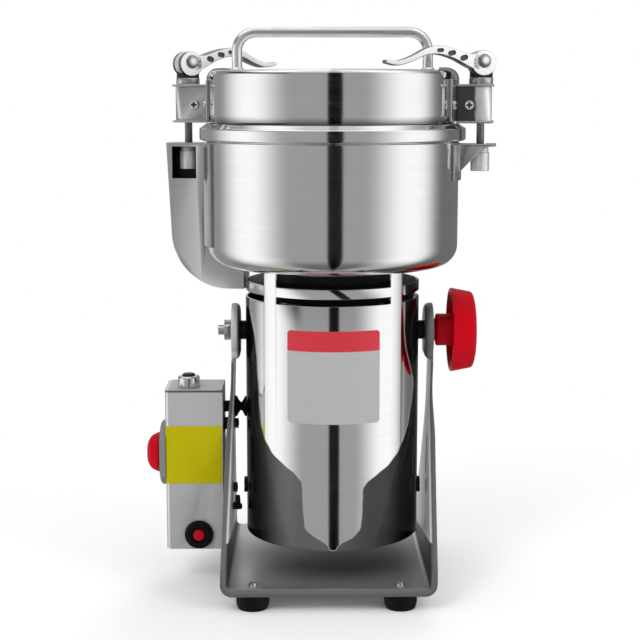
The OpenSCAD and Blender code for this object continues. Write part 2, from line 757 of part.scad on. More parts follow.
// Hollow hand wheel with a hub that clamps the barrel's tilt
module lock_knob() color([0.78, 0.0, 0.08]) translate([ear_x + sheet_t + gap, 0, pivot_z]) {
    hub_x = ear_band_w - sheet_t + 1.8;
    wheel_x = hub_x + 12;
    wall = 3;
    difference() {
        union() {
            x_cyl(0, hub_x + 0.1, hub_d / 2 - 4);
            x_cyl(hub_x, wheel_x - hub_x + knob_w - wall, hub_d / 2);
            translate([wheel_x, 0, 0]) rotate([0, 90, 0]) rotate_extrude() difference() {
                polygon([[0, 0], [knob_d / 2, 0], [knob_face_d / 2 + 1.2, knob_w - 3],
                    [knob_face_d / 2 - 2, knob_w], [0, knob_w]]);
                polygon([[0, -cut], [knob_d / 2 - wall, -cut], [knob_face_d / 2 - wall, knob_w - wall],
                    [0, knob_w - wall]]);
            }
        }
        x_cyl(-cut, knob_bore + cut, stud_r + run);
    }
}

// ---------- bowl ----------

module bowl() color("silver") translate([0, 0, bowl_z0]) difference() {
    rotate_extrude() difference() {
        union() {
            can_half(bowl_r, bowl_h, bowl_edge_r);
            translate([bowl_r - 1, bowl_h - rim_h]) square([rim_reach + 1, rim_h - 4.8]);
            translate([bowl_r - 1, bowl_h - rim_h]) square([rim_reach - 3.8, rim_h]);
            translate([rim_r - 4.8, bowl_h - 4.8]) circle(4.8);
        }
        // Inside, closed in by a narrow ledge under the lid
        translate([0, 3]) can_half(bowl_r - bowl_wall, bowl_h - 6, bowl_edge_r - bowl_wall);
        translate([-cut, bowl_h - 5]) square([mouth_r + cut, 6]);
    }
    translate([0, 0, -cut]) cylinder(h = 4, r = 10 + seat);
}

module shaft_seal() color([0.1, 0.1, 0.1]) ring(bowl_z0, 3, 10, shaft_r + run);

// Outline of the bowl with its welded bracket's clearance, in the plane of the clamp
module bowl_keepout(grow) {
    edge = bowl_edge_r + grow;
    translate([0, bowl_z0 - grow]) can_half(bowl_r + grow, far, edge);
}

// Side outline of the left bracket, shrunk by inset
module handle_outline(inset) difference() {
    union() {
        polygon([[bracket_in - 4, bracket_z - inset], [handle_leg_out - inset, bracket_z - inset],
            [handle_leg_out - 3.5 - inset, handle_low + handle_turn_r], [bracket_in - 4, handle_low + handle_turn_r]]);
        translate([handle_leg_out - 3.5 - handle_turn_r, handle_low + handle_turn_r]) circle(handle_turn_r - inset);
        translate([barrel_r + 0.4 + inset, handle_low + inset])
            square([handle_leg_out - 3.5 - handle_turn_r - barrel_r, handle_turn_r]);
    }
    bowl_keepout(0.1 + inset);
    translate([0, 0]) square([barrel_r + 0.4 + inset, far]);
}

// Hollow bent bracket that carries the left clamp and serves as the pouring grip
module handle_bracket() color("silver") at_clamp(-1) difference() {
    union() {
        front_prism(bracket_d) handle_outline(0);
        saddle(-1, 30, bowl_z0 + bowl_edge_r, bracket_z);
    }
    difference() {
        front_prism(bracket_d - 2 * bracket_t) handle_outline(bracket_t);
        translate([0, 0, bracket_z - bracket_t]) cylinder(h = far, r = far);
    }
    // Window in the front wall and slot in the saddle
    translate([rod_x - 8.5, 0, bracket_z - 28]) cube([19.4, far / 2, 25]);
    wedge_cut(21, 4.5, bracket_z - 28, 25);
    translate([rod_x, 0, bracket_z - 5]) cylinder(h = 10, r = rod_r + gap);
}

// Curved pad welded to the bowl behind a bracket
module saddle(side, half_a, z0, z1) intersection() {
    ring(z0, z1 - z0, bracket_in + saddle_t, bracket_in);
    wedge(0, half_a, 0, far * 2);
}

// Radial cutter at angle a
module wedge_cut(a, half_a, z0, h) intersection() {
    ring(z0, h, bracket_in + 4, bracket_in - 4);
    wedge(a, half_a, 0, far * 2);
}

// Open fork on the right: the rod leaves it backwards when the lid swings
module right_bracket() color("silver") at_clamp(1) difference() {
    union() {
        saddle(1, 15, bracket_z - 28, bracket_z);
        difference() {
            translate([0, -bracket_d / 2, bracket_z - bracket_t])
                cube([rod_x + 12, bracket_d, bracket_t]);
            translate([0, 0, 0]) cylinder(h = far * 2, r = bracket_in + 0.4);
        }
        // Gusset at the front side
        translate([0, -bracket_d / 2 + bracket_t / 2, 0]) front_prism(bracket_t)
            polygon([[bracket_in + 1, bracket_z - 22], [bracket_in + 1, bracket_z - 1],
                [rod_x + 2, bracket_z - 1], [rod_x + 2, bracket_z - 4]]);
    }
    translate([rod_x, 0, bracket_z - 10]) cylinder(h = 20, r = rod_r + fork_play);
    translate([rod_x - rod_r - fork_play, 0, bracket_z - 10]) cube([rod_d + 2 * fork_play, far, 20]);
}

// ---------- rotor ----------

module motor_shaft() color("gainsboro") {
    translate([0, 0, lower_bearing_z]) cylinder(h = shaft_top - lower_bearing_z, r = shaft_r);
    translate([0, 0, lower_bearing_z + bearing_h + gap]) cylinder(h = 2.2, r = shaft_r + 3);
}

module armature() color([0.4, 0.4, 0.42]) difference() {
    ring(stack_z0, stack_h, armature_r, shaft_r + seat);
    for (a = [0 : 30 : 330]) rotate([0, 0, a])
        translate([armature_r - 7, -1.6, stack_z0 - cut]) cube([far, 3.2, stack_h + 2 * cut]);
}

module commutator() color([0.72, 0.42, 0.2]) ring(brush_z - 9, 18, commutator_r, shaft_r + seat);

module cooling_fan() color([0.15, 0.15, 0.16]) {
    ring(fan_z, fan_h, 13, shaft_r + seat);
    ring(fan_z, 2, barrel_in - 8, 12);
    for (a = [0 : 30 : 330]) rotate([0, 0, a])
        translate([12, -1, fan_z + 1]) cube([barrel_in - 21, 2, fan_h - 1]);
}

// Flat blades, each turned 60 degrees from the one below
module blades() color("gainsboro") for (i = [0 : 2]) {
    z = blade_z0 + i * blade_step;
    reach = blade_reach - 5 * i;
    difference() {
        union() {
            translate([0, 0, z]) cylinder(h = blade_t, r = 14);
            rotate([0, 0, 60 * i]) for (s = [0, 180]) rotate([0, 0, s])
                translate([0, 0, z]) linear_extrude(blade_t)
                    polygon([[0, -11], [reach - 14, -8], [reach, 2], [reach - 4, 8], [0, 11]]);
        }
        translate([0, 0, z - cut]) cylinder(h = blade_t + 2 * cut, r = shaft_r + seat);
    }
}

module blade_spacers() color("silver") {
    ring(bowl_z0 + 3 + gap, blade_z0 - bowl_z0 - 3 - gap, 12, shaft_r + seat);
    for (i = [0, 1]) ring(blade_z0 + blade_t + i * blade_step, blade_step - blade_t, 12, shaft_r + seat);
}

module blade_nut() color("silver") translate([0, 0, blade_z0 + blade_t + 2 * blade_step]) difference() {
    cylinder(h = 9, r = 11, $fn = 6);
    translate([0, 0, -cut]) cylinder(h = 20, r = shaft_r + seat);
}

// ---------- lid ----------

module lid_shell() color("silver") translate([0, 0, lid_z1]) mirror([0, 0, 1]) rotate_extrude() difference() {
    can_half(lid_r, lid_h, lid_edge_r);
    translate([0, lid_wall]) can_half(lid_r - lid_wall, lid_h, lid_edge_r - lid_wall);
}

// Underside of the lid, with a groove for the seal
module lid_liner() color("silver") difference() {
    translate([0, 0, lid_z0]) cylinder(h = 3, r = lid_r - lid_wall - seat);
    ring(lid_z0 - cut, 1.8 + cut, mouth_r + 3.6, mouth_r - 3);
}

module lid_seal() color([0.85, 0.85, 0.83])
    ring(lid_z0, 1.8 - seat, mouth_r + 3.6 - seat, mouth_r - 3 + seat);

module lid_handle() color("silver") {
    r = handle_d / 2;
    bend = handle_bend_r - r;
    top = lid_z1 + handle_rise - r;
    half = handle_span / 2;
    translate([-(half - bend), 0, top]) x_cyl(0, 2 * (half - bend), r);
    for (s = [0, 1]) mirror([s, 0, 0]) {
        translate([half, 0, lid_z1 + 2]) cylinder(h = top - bend - lid_z1 - 2, r = r);
        translate([half, 0, lid_z1]) cylinder(h = 2, r = r + 1.6);
        translate([half - bend, 0, top - bend]) intersection() {
            rotate([90, 0, 0]) rotate_extrude() translate([bend, 0]) circle(r, $fn = 48);
            translate([0, -r - 1, 0]) cube([bend + r + 1, 2 * r + 2, bend + r + 1]);
        }
    }
}

// Curved straps that reach over the lid's edge and carry the housings
module lid_straps() color("silver") for (side = [-1, 1]) at_clamp(side) {
    low = lid_z0 + 1.2;
    corner = lid_z1 - lid_edge_r;
    intersection() {
        ring(low, corner - low, strap_r, lid_r + seat);
        wedge(0, 16, 0, far * 2);
    }
    intersection() {
        rotate_extrude() union() {
            translate([lid_r - lid_edge_r, corner]) intersection() {
                difference() {
                    circle(lid_edge_r + strap_t);
                    circle(lid_edge_r + seat);
                }
                square(lid_edge_r + strap_t);
            }
            translate([lid_r - lid_edge_r - 5, lid_z1 + seat]) square([5, strap_t - seat]);
        }
        wedge(0, 8, 0, far * 2);
    }
}

// Bent sheet housings round the rods
module clamp_housings() color([0.62, 0.62, 0.64]) for (side = [-1, 1]) at_clamp(side) difference() {
    union() {
        difference() {
            translate([housing_in - 6, -housing_d / 2, housing_z])
                cube([housing_out - housing_in + 6, housing_d, housing_h]);
            translate([housing_in + 2, -housing_d / 2 + 2, housing_z - cut])
                cube([housing_out - housing_in - 4, housing_d - 4, housing_h + 2 * cut]);
        }
        for (z = [housing_z - flange_t, housing_z + housing_h])
            translate([housing_in - 6, -housing_d / 2 - 1.5, z])
                cube([housing_out - housing_in + 7.5, housing_d + 3, flange_t]);
    }
    translate([0, 0, lid_z0 - 5]) cylinder(h = far, r = strap_r + seat);
    translate([rod_x, 0, housing_z - 5]) cylinder(h = far, r = rod_r + gap);
    for (s = [-1, 1]) translate([rod_x - 8, s * housing_d / 2, housing_z + housing_h / 2 - 1])
        rotate([90, 0, 0]) cylinder(h = 8, r = 2 + run, center = true);
}

// Screws through the housings' cheeks and into the straps
module clamp_screws() color("gainsboro") for (side = [-1, 1]) at_clamp(side) {
    z = housing_z + housing_h / 2 - 1;
    for (s = [-1, 1]) translate([rod_x - 8, s * housing_d / 2, z]) rotate([-90 * s, 0, 0]) screw(7.6, 1.8, 4, 5);
    for (a = [-13, 13]) rotate([0, 0, a]) translate([strap_r + 0.15, 0, z]) rotate([0, 90, 0]) screw(7, 1.6, 3.6, 0.1);
}

module clamp_collars() color("silver") for (side = [-1, 1]) at_clamp(side) translate([rod_x, 0, 0])
    ring(housing_top, collar_h, 9.2, rod_r + gap);

// Black cradles under the cams
module cam_cradles() color([0.05, 0.05, 0.05]) for (side = [-1, 1]) at_clamp(side) {
    turn = lever_turn(side) - (side > 0 ? -clamp_angle : 180 - clamp_angle);
    translate([rod_x, 0, 0]) difference() {
        translate([0, 0, collar_top]) cylinder(h = 5.5, r = 8.8);
        translate([0, 0, collar_top - cut]) cylinder(h = 10, r = rod_r + gap);
        translate([0, 0, collar_top + cradle_base + cam_r + 3]) rotate([90, 0, turn])
            cylinder(h = 40, r = cam_r + 3, center = true);
    }
}

// Direction in which a lever points at rest
function lever_turn(side) = side > 0 ? 180 + right_lever_angle : left_lever_angle;

// Threaded rod with its eye and cross pin
module clamp_rod(side) at_clamp(side) {
    turn = lever_turn(side) - (side > 0 ? -clamp_angle : 180 - clamp_angle);
    translate([rod_x, 0, 0]) {
        translate([0, 0, bracket_z - bracket_t - gap - rod_nut_h])
            cylinder(h = pin_z - bracket_z + bracket_t + gap + rod_nut_h, r = rod_r);
        translate([0, 0, pin_z]) rotate([0, 0, turn]) {
            rotate([90, 0, 0]) cylinder(h = eye_w, r = eye_r, center = true);
            rotate([90, 0, 0]) cylinder(h = lever_w + 2 * gap, r = pin_r, center = true);
            for (s = [0, 180]) rotate([0, 0, s]) translate([0, lever_w / 2 + gap, 0]) rotate([-90, 0, 0])
                cylinder(h = 1.6, r1 = pin_head_r, r2 = pin_head_r - 1.4);
        }
    }
}

module left_clamp_rod() color("silver") clamp_rod(-1);

module right_clamp_rod() color("silver") clamp_rod(1);

// Tall round nut under a bracket
module rod_nut(side) at_clamp(side) translate([rod_x, 0, bracket_z - bracket_t - gap - rod_nut_h])
    difference() {
        union() {
            cylinder(h = rod_nut_h - 4, r = rod_nut_d / 2);
            translate([0, 0, rod_nut_h - 4]) cylinder(h = 4, r = rod_nut_d / 2 - 0.7);
        }
        translate([0, 0, -cut]) cylinder(h = far, r = rod_r + seat);
    }

module left_rod_nut() color("gainsboro") rod_nut(-1);

module right_rod_nut() color("gainsboro") rod_nut(1);

// Stations along a lever: distance from the pin, height of the middle line, thickness
lever_line = [[4, -1, 13], [12, 0.6, 9.6], [22, 4.9, 7.6], [31, 7.5, 6.8], [38, 8.1, 6.2], [46, 6.4, 5],
    [55, 1.9, 4.4], [64, -1.3, 4], [70, -1.6, 3.4], [76, -0.6, 2.4]];

// Smooth value between two stations
function blend_line(p, i, t, k) =
    let (a = p[max(0, i - 1)][k], b = p[i][k], c = p[i + 1][k], d = p[min(len(p) - 1, i + 2)][k])
    b + 0.5 * t * ((c - a) + t * ((2 * a - 5 * b + 4 * c - d) + t * (3 * (b - c) + d - a)));

function lever_side(sign) = [for (i = [0 : len(lever_line) - 2], t = [0 : 0.25 : 0.75])
    [blend_line(lever_line, i, t, 0),
        blend_line(lever_line, i, t, 1) + sign * blend_line(lever_line, i, t, 2) / 2]];

// Side outline of a lever, pin at the origin
module lever_outline() {
    tip = lever_line[len(lever_line) - 1];
    lower = lever_side(-1);
    polygon(concat(lever_side(1), [[tip[0], tip[1] + tip[2] / 2], [tip[0], tip[1] - tip[2] / 2]],
        [for (i = [len(lower) - 1 : -1 : 0]) lower[i]]));
}

module cam_lever(side) at_clamp(side) translate([rod_x, 0, pin_z])
    rotate([0, 0, lever_turn(side) - (side > 0 ? -clamp_angle : 180 - clamp_angle)]) difference() {
        union() {
            front_prism(lever_w) lever_outline();
            translate([0, 0, -cam_offset]) rotate([90, 0, 0]) cylinder(h = lever_w, r = cam_r, center = true);
        }
        rotate([90, 0, 0]) cylinder(h = far, r = pin_r + run, center = true);
        // Room for the rod's eye between the cheeks
        translate([-20, -cheek_gap / 2, -20]) cube([20 + eye_r + 1.2, cheek_gap, 40]);
        // Oval recesses along both sides
        for (s = [-1, 1], p = [[16, 2.6, -24, 7], [25.5, 6, -14, 7], [34.5, 7.9, -4, 6]])
            translate([p[0], s * lever_w / 2, p[1]]) rotate([90, 0, 0]) rotate([0, 0, 90 - p[2]])
                linear_extrude(3, center = true) slot_2d(3.2, p[3]);
    }

module left_cam_lever() color("gainsboro") cam_lever(-1);

module right_cam_lever() color("gainsboro") cam_lever(1);

// ---------- what is drawn ----------

base_frame();
rubber_feet();
foot_screws();
box_shell();
box_top();
box_spacers();
box_label();
timer_dial();
timer_body();
timer_knob();
power_switch();
power_button();
overload_breaker();
reset_boot();
reset_button();
terminal_block();
cable_grommet();
motor_cable();
mains_gland();
barrel_shell();
barrel_floor();
rating_label();
stator_core();
stator_windings();
upper_bracket();
lower_bracket();
bearings();
brush_holders();
brushes();
brush_caps();
pivot_studs();
pivot_spacers();
pivot_nut();
lock_knob();
bowl();
shaft_seal();
handle_bracket();
right_bracket();
motor_shaft();
armature();
commutator();
cooling_fan();
blades();
blade_spacers();
blade_nut();
lid_shell();
lid_liner();
lid_seal();
lid_handle();
lid_straps();
clamp_housings();
clamp_screws();
clamp_collars();
cam_cradles();
left_clamp_rod();
right_clamp_rod();
left_rod_nut();
right_rod_nut();
left_cam_lever();
right_cam_lever();
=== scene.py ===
import math

import bmesh
import bpy
from mathutils import Matrix, Vector


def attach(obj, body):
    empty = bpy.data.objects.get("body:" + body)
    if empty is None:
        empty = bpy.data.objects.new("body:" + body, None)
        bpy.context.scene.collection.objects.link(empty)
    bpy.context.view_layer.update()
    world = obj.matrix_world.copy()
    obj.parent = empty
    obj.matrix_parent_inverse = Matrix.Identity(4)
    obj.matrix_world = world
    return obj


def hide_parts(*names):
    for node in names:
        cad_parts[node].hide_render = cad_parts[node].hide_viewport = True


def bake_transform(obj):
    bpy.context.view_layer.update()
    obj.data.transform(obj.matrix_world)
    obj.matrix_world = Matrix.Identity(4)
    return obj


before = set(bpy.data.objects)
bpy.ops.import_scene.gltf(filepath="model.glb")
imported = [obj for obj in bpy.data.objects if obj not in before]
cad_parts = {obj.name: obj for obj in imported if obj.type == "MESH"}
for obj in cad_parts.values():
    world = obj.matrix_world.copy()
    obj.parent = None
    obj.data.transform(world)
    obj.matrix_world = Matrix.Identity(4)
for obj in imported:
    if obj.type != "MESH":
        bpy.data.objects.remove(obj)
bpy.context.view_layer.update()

mm = 0.001
print("frame loaded:", len(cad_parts), "nodes")


class Sock:
    # an output of a node; arithmetic on it adds Math nodes
    def __init__(self, graph, out):
        self.graph, self.out = graph, out

    def calc(self, operation, *values):
        return self.graph.add("ShaderNodeMath", {"operation": operation}, dict(enumerate(values)))

    def __add__(self, other): return self.calc("ADD", self, other)
    def __radd__(self, other): return self.calc("ADD", other, self)
    def __sub__(self, other): return self.calc("SUBTRACT", self, other)
    def __rsub__(self, other): return self.calc("SUBTRACT", other, self)
    def __mul__(self, other): return self.calc("MULTIPLY", self, other)
    def __rmul__(self, other): return self.calc("MULTIPLY", other, self)
    def __truediv__(self, other): return self.calc("DIVIDE", self, other)
    def __rtruediv__(self, other): return self.calc("DIVIDE", other, self)
    def __abs__(self): return self.calc("ABSOLUTE", self)

    def root(self):
        return self.calc("SQRT", self)

    def most(self, other):
        return self.calc("MAXIMUM", self, other)

    def fade(self, start, end, low=0.0, high=1.0):
        # goes smoothly from low to high between start and end
        return self.graph.add("ShaderNodeMapRange", {"interpolation_type": "SMOOTHSTEP", "clamp": True},
                              {0: self, 1: start, 2: end, 3: low, 4: high})

    def near(self, place, width, soft):
        # 1 within width of place, falling to 0 over soft
        return abs(self - place).fade(width, width + soft, 1.0, 0.0)


class Graph:
    shaderSockets = {"colour": "Base Color", "metal": "Metallic", "rough": "Roughness", "coat": "Coat Weight",
                     "coatRough": "Coat Roughness", "gloss": "Specular IOR Level", "normal": "Normal"}

    def __init__(self, tree):
        self.tree = tree

    def add(self, kind, settings=None, values=None, out=0):
        node = self.tree.nodes.new(kind)
        for key, value in (settings or {}).items():
            if key == "stops":
                ramp = node.color_ramp
                ramp.interpolation = "CARDINAL"
                while len(ramp.elements) < len(value):
                    ramp.elements.new(0.5)
                for element, (place, colour) in zip(ramp.elements, value):
                    element.position, element.color = place, (*colour, 1)
            else:
                setattr(node, key, value)
        for key, value in (values or {}).items():
            self.feed(node.inputs[key], value)
        return Sock(self, node.outputs[out])

    def feed(self, socket, value):
        if isinstance(value, Sock):
            self.tree.links.new(value.out, socket)
        elif socket.type == "RGBA" and len(value) == 3:
            socket.default_value = (*value, 1)
        else:
            socket.default_value = value

    def set(self, **values):
        # values or links of the principled shader
        for key, value in values.items():
            self.feed(self.tree.nodes["Principled BSDF"].inputs[self.shaderSockets[key]], value)

    def bump(self, height, strength, distance):
        self.set(normal=self.add("ShaderNodeBump", values={
            "Strength": strength, "Distance": distance, "Height": height}))

    def where(self, scale=(1, 1, 1)):
        # position on the object in metres, stretched by scale
        spot = self.add("ShaderNodeTexCoord", out=3)
        return self.add("ShaderNodeVectorMath", {"operation": "MULTIPLY"}, {0: spot, 1: scale})

    def parts(self, vector=None):
        # the three numbers of a vector, or of the position
        node = self.add("ShaderNodeSeparateXYZ", values={0: vector or self.where()}).out.node
        return [Sock(self, out) for out in node.outputs]

    def noise(self, scale, detail, rough=0.5, vector=None):
        return self.add("ShaderNodeTexNoise", values={"Vector": vector or self.where(), "Scale": scale,
                                                      "Detail": detail, "Roughness": rough})

    def tint(self, tone, *layers):
        # each layer, a mask and its colour, lies over the tone before it
        for mask, colour in layers:
            tone = self.add("ShaderNodeMix", {"data_type": "RGBA"}, {0: mask, 6: tone, 7: colour}, out=2)
        return tone

    def ramp(self, factor, stops):
        return self.add("ShaderNodeValToRGB", {"stops": stops}, {0: factor})

    def turned(self, around, along):
        # coordinates for turning marks: slow round the Z axis, quick along it
        x, y, z = self.parts()
        return self.add("ShaderNodeCombineXYZ", values={
            0: x.calc("ARCTAN2", y, x) * around, 1: (x * x + y * y).root() * along, 2: z * along})


def finish(name, **plain):
    # new material; plain holds values that are the same all over
    material = bpy.data.materials.new(name)
    material.use_nodes = True
    graph = Graph(material.node_tree)
    graph.material = material
    graph.set(**plain)
    return graph


def darker(colour, share):
    return [c * share for c in colour]


def fingerMarks(graph, low, high, scale=28.0):
    # broad smudges that change the roughness a little
    return graph.noise(scale, 4.0, 0.6).fade(0.35, 0.7, low, high)


# metals

def turnedSteel(name, colour, rough, foot=0.0):
    # steel spun round the Z axis with faint turning marks, and a painted shade band just above the height
    # foot
    graph = finish(name, metal=1.0)
    vector = graph.turned(1.2, 900.0)
    fine = graph.noise(1.0, 2.0, 0.5, vector)
    wide = graph.noise(0.10, 2.0, 0.5, vector)
    z = graph.parts()[2]
    # the last layer is a painted shade band just above the height foot
    tone = graph.tint(darker(colour, 0.965), (fine.fade(0.3, 0.7), colour),
                      (wide.fade(0.3, 0.75, 0.0, 0.5), darker(colour, 0.96)),
                      ((z - foot).near(0, 0.5 * mm, 6 * mm) * 0.75, darker(colour, 0.15)))
    graph.set(colour=tone,
              rough=fine.fade(0.2, 0.8, rough - 0.01, rough + 0.015) + fingerMarks(graph, 0.0, 0.02))
    graph.bump(fine, 0.02, 0.00003)
    return graph.material


barrelShade = {
    # turned steel and its streaks; back is the strength of the painted reflection on the back half
    "radius": 68.7, "pale": (0.81, 0.81, 0.82), "streak": (0.79, 0.79, 0.79), "back": 0.35,
    # the bright tongue between the painted dark reflections: height in mm, half width to the left and to the
    # right as a share of the radius
    "low": 40, "high": 224,
    "tongue": (
        (43, 0.04, 0.03), (46, 0.065, 0.06), (48.5, 0.11, 0.11), (51, 0.178, 0.195), (57, 0.295, 0.285),
        (66, 0.325, 0.312), (82, 0.34, 0.322), (91, 0.345, 0.335), (97, 0.375, 0.425), (104, 0.49, 0.58),
        (112, 0.645, 0.70), (121, 0.742, 0.775), (132, 0.80, 0.84), (146, 0.823, 0.88), (160, 0.835, 0.91),
        (172, 0.846, 0.90), (190, 0.86, 0.835), (206, 0.888, 0.80), (224, 0.94, 0.80)),
    # grey of the painted dark reflection on the sides, from the left limb to the right one
    "sides": ((0.03, (0.003, 0.003, 0.003)), (0.09, (0.014, 0.014, 0.015)), (0.13, (0.038, 0.038, 0.040)),
              (0.175, (0.08, 0.08, 0.084)), (0.23, (0.12, 0.12, 0.125)), (0.31, (0.115, 0.115, 0.12)),
              (0.5, (0.10, 0.10, 0.10)), (0.69, (0.055, 0.055, 0.058)), (0.80, (0.042, 0.042, 0.044)),
              (0.865, (0.017, 0.017, 0.018)), (0.93, (0.004, 0.004, 0.004)))}


def barrelSteel(name):
    # mirror polished tube with a dark reflection painted on its sides and foot, and a bright tongue between
    # them
    graph, shade = finish(name, gloss=0.12), barrelShade
    x, y, z = graph.parts()
    fine = graph.noise(1.0, 2.0, 0.5, graph.turned(0.8, 400.0))
    side = x / (shade["radius"] * mm)
    low, span = shade["low"], shade["high"] - shade["low"]
    left, right, _ = graph.parts(graph.ramp((z - low * mm) / (span * mm), [
        ((high - low) / span, (toLeft, toRight, 0)) for high, toLeft, toRight in shade["tongue"]]))
    edge = abs(side) - (left + (right - left) * side.fade(-0.01, 0.01))
    # painted reflection: dark beside the tongue, weaker on the back half, and less metallic
    dark = edge.fade(-0.012, 0.014) * y.fade(-0.001, 0.001, 1.0, shade["back"])
    tone = graph.tint(shade["streak"], (fine.fade(0.3, 0.7), shade["pale"]),
                      (dark, graph.ramp(side * 0.5 + 0.5, shade["sides"])))
    graph.set(colour=tone, metal=1 - dark * 0.88,
              rough=fine.fade(0.2, 0.8, 0.07, 0.09) + fingerMarks(graph, 0.0, 0.02, 22.0))
    graph.bump(fine, 0.02, 0.00003)
    return graph.material


# painted light on the stand: a pale reflection on the arms' inner faces above the line and dark below it,
# painted shade on the rims and under the barrel, and painted lit and shaded sides on the ears
standShade = {"sheet": (0.56, 0.56, 0.57), "arms": (0.82, 0.82, 0.83), "low": (0.11, 0.11, 0.112),
              "rims": (0.115, 0.115, 0.117), "shade": (0.10, 0.10, 0.102), "line": 0.038, "slope": 0.154,
              "ear": 0.180, "earLeft": (0.66, 0.66, 0.67), "earInner": (0.05, 0.05, 0.052),
              "earRight": (0.20, 0.195, 0.205),
              # heights where the plate ends, reach of the painted shade below the barrel, and forward facing
              # rims that are painted darker
              "plateEnd": (0.020, 0.030), "reach": (0.030, 0.082), "rimFacing": (-0.55, -0.12)}


def standSteel(name):
    # satin sheet with painted light: inner faces of the arms painted pale above a line and dark below it,
    # painted shade on the plate below the barrel, on the forward facing rims and on the ears by the side they
    # face
    graph, shade = finish(name), standShade
    x, y, z = graph.parts()
    fine = graph.noise(1.0, 2.0, 0.5, graph.where((10, 1100, 60)))
    cloud = graph.noise(10.0, 3.0, 0.5)
    facing, forward, _ = graph.parts(graph.add("ShaderNodeNewGeometry", out=1))
    inner = (x * facing * -13.3).fade(0.55, 0.94)
    above = (z + y * shade["slope"] - shade["line"]).fade(-0.001, 0.001)
    inside = inner * above * (z - shade["ear"]).fade(0.0, 0.004, 1.0, 0.0)
    reach = (x * x * 0.6 + y * y).root()
    flat = z.fade(*shade["plateEnd"], 1.0, 0.0)
    ear = z.fade(shade["ear"] - 0.002, shade["ear"] + 0.003)
    rims = forward.fade(*shade["rimFacing"], 1.0, 0.0) * (1 - ear)
    plate = flat * (1 - rims)
    # ears painted by the side they face: the left ear's outer face lit, faces turned to +x shaded, the right
    # ear darker
    ears = graph.tint(shade["earLeft"], (facing.fade(0.35, 0.85), shade["earInner"]),
                      (x.fade(-0.01, 0.01), shade["earRight"]))
    tone = graph.tint(darker(shade["sheet"], 0.95), (fine.fade(0.3, 0.7), shade["sheet"]),
                      (cloud.fade(0.35, 0.7, 0.0, 0.3), darker(shade["sheet"], 0.92)),
                      (reach.fade(*shade["reach"], 1.0, 0.0) * flat, shade["shade"]),
                      (inner * (1 - above), shade["low"]), (rims, shade["rims"]),
                      (inside, shade["arms"]), (ear, ears))
    graph.set(colour=tone, metal=1 - inside * 0.65 - rims * 0.75 - ear * 0.55 - plate * 0.12,
              rough=cloud.fade(0.3, 0.7, 0.36, 0.42))
    graph.bump(fine, 0.04, 0.00003)
    return graph.material


# the two clamps: distance of a rod from the barrel's axis in mm, turn from the X axis in degrees
clamp = {"rod": 115.0, "turn": 9.0}
clampCos, clampSin = math.cos(math.radians(clamp["turn"])), math.sin(math.radians(clamp["turn"]))
# the left bracket's hollow: half width, top and start in mm, and the colour of the painted shade inside it
gripHollow = {"half": 9.84, "top": 349.2, "from": 99.5, "dark": (0.03, 0.03, 0.032)}


def bracketSteel(name, colour, rough):
    # welded bracket on the left, with painted shade inside its hollow
    graph, hollow = finish(name, metal=1.0), gripHollow
    fine = graph.noise(1.0, 2.0, 0.5, graph.where((20, 20, 500)))
    x, y, z = graph.parts()
    across = x * -clampSin - y * clampCos
    along = y * clampSin - x * clampCos
    # painted shade inside the hollow
    hollowShade = (abs(across).fade(hollow["half"] * mm, (hollow["half"] + 0.06) * mm, 1.0, 0.0)
                * z.fade((hollow["top"] - 0.1) * mm, (hollow["top"] + 0.1) * mm, 1.0, 0.0)
                * along.fade(hollow["from"] * mm, (hollow["from"] + 0.3) * mm))
    tone = graph.tint(darker(colour, 0.96), (fine.fade(0.3, 0.7), colour), (hollowShade, hollow["dark"]))
    graph.set(colour=tone, rough=fine.fade(0.3, 0.7, rough, rough + 0.05))
    graph.bump(fine, 0.04, 0.00003)
    return graph.material


def brushed(graph, colour, grain=(4, 4, 700)):
    # straight grain, quick across the brushing, under a few blotches
    fine = graph.noise(1.0, 3.0, 0.6, graph.where(grain))
    blotch = graph.noise(16.0, 4.0, 0.6)
    tone = graph.tint(darker(colour, 0.95), (fine.fade(0.3, 0.7), colour),
                      (blotch.fade(0.4, 0.75, 0.0, 0.3), darker(colour, 0.88)))
    return fine, blotch, tone


def sheetSteel(name, colour, rough):
    # bent sheet with straight grain
    graph = finish(name, metal=1.0)
    fine, blotch, tone = brushed(graph, colour)
    graph.set(colour=tone, rough=blotch.fade(0.3, 0.7, rough - 0.04, rough + 0.06))
    graph.bump(fine, 0.05, 0.00003)
    return graph.material


# the sheet, then the painted reflection on the right housing: dark, mid, and light towards its outer corner,
# split near x = at, in a band round the height middle
housingShade = {"sheet": (0.62, 0.62, 0.63), "dark": (0.045, 0.045, 0.046), "mid": (0.45, 0.45, 0.455),
                "light": (0.86, 0.86, 0.87), "at": 0.1085, "middle": 381.4, "half": 12.8}


def housingSteel(name):
    # bent sheet round the clamps; on the right one's face a dark reflection of something next to the lid is
    # painted, with a pale painted highlight towards its outer corner
    graph, shade = finish(name), housingShade
    fine, blotch, tone = brushed(graph, shade["sheet"])
    wave = graph.noise(70.0, 2.0, 0.5)
    x, y, z = graph.parts()
    # painted reflection and highlight on the right housing's front face, which is made less metallic
    inFront = y.fade(-0.027, -0.024, 1.0, 0.0) * z.near(shade["middle"] * mm, shade["half"] * mm, 0.3 * mm)
    right = x.fade(0.09, 0.091) * inFront
    split = (x + (wave - 0.5) * 0.006).fade(shade["at"] - 0.0015, shade["at"] + 0.001)
    pale = graph.tint(shade["mid"], (x.fade(0.110, 0.119), shade["light"]))
    tone = graph.tint(tone, (right, graph.tint(shade["dark"], (split, pale))))
    graph.set(colour=tone, metal=1 - right * 0.6, rough=blotch.fade(0.3, 0.7, 0.24, 0.34))
    graph.bump(fine, 0.04, 0.00003)
    return graph.material


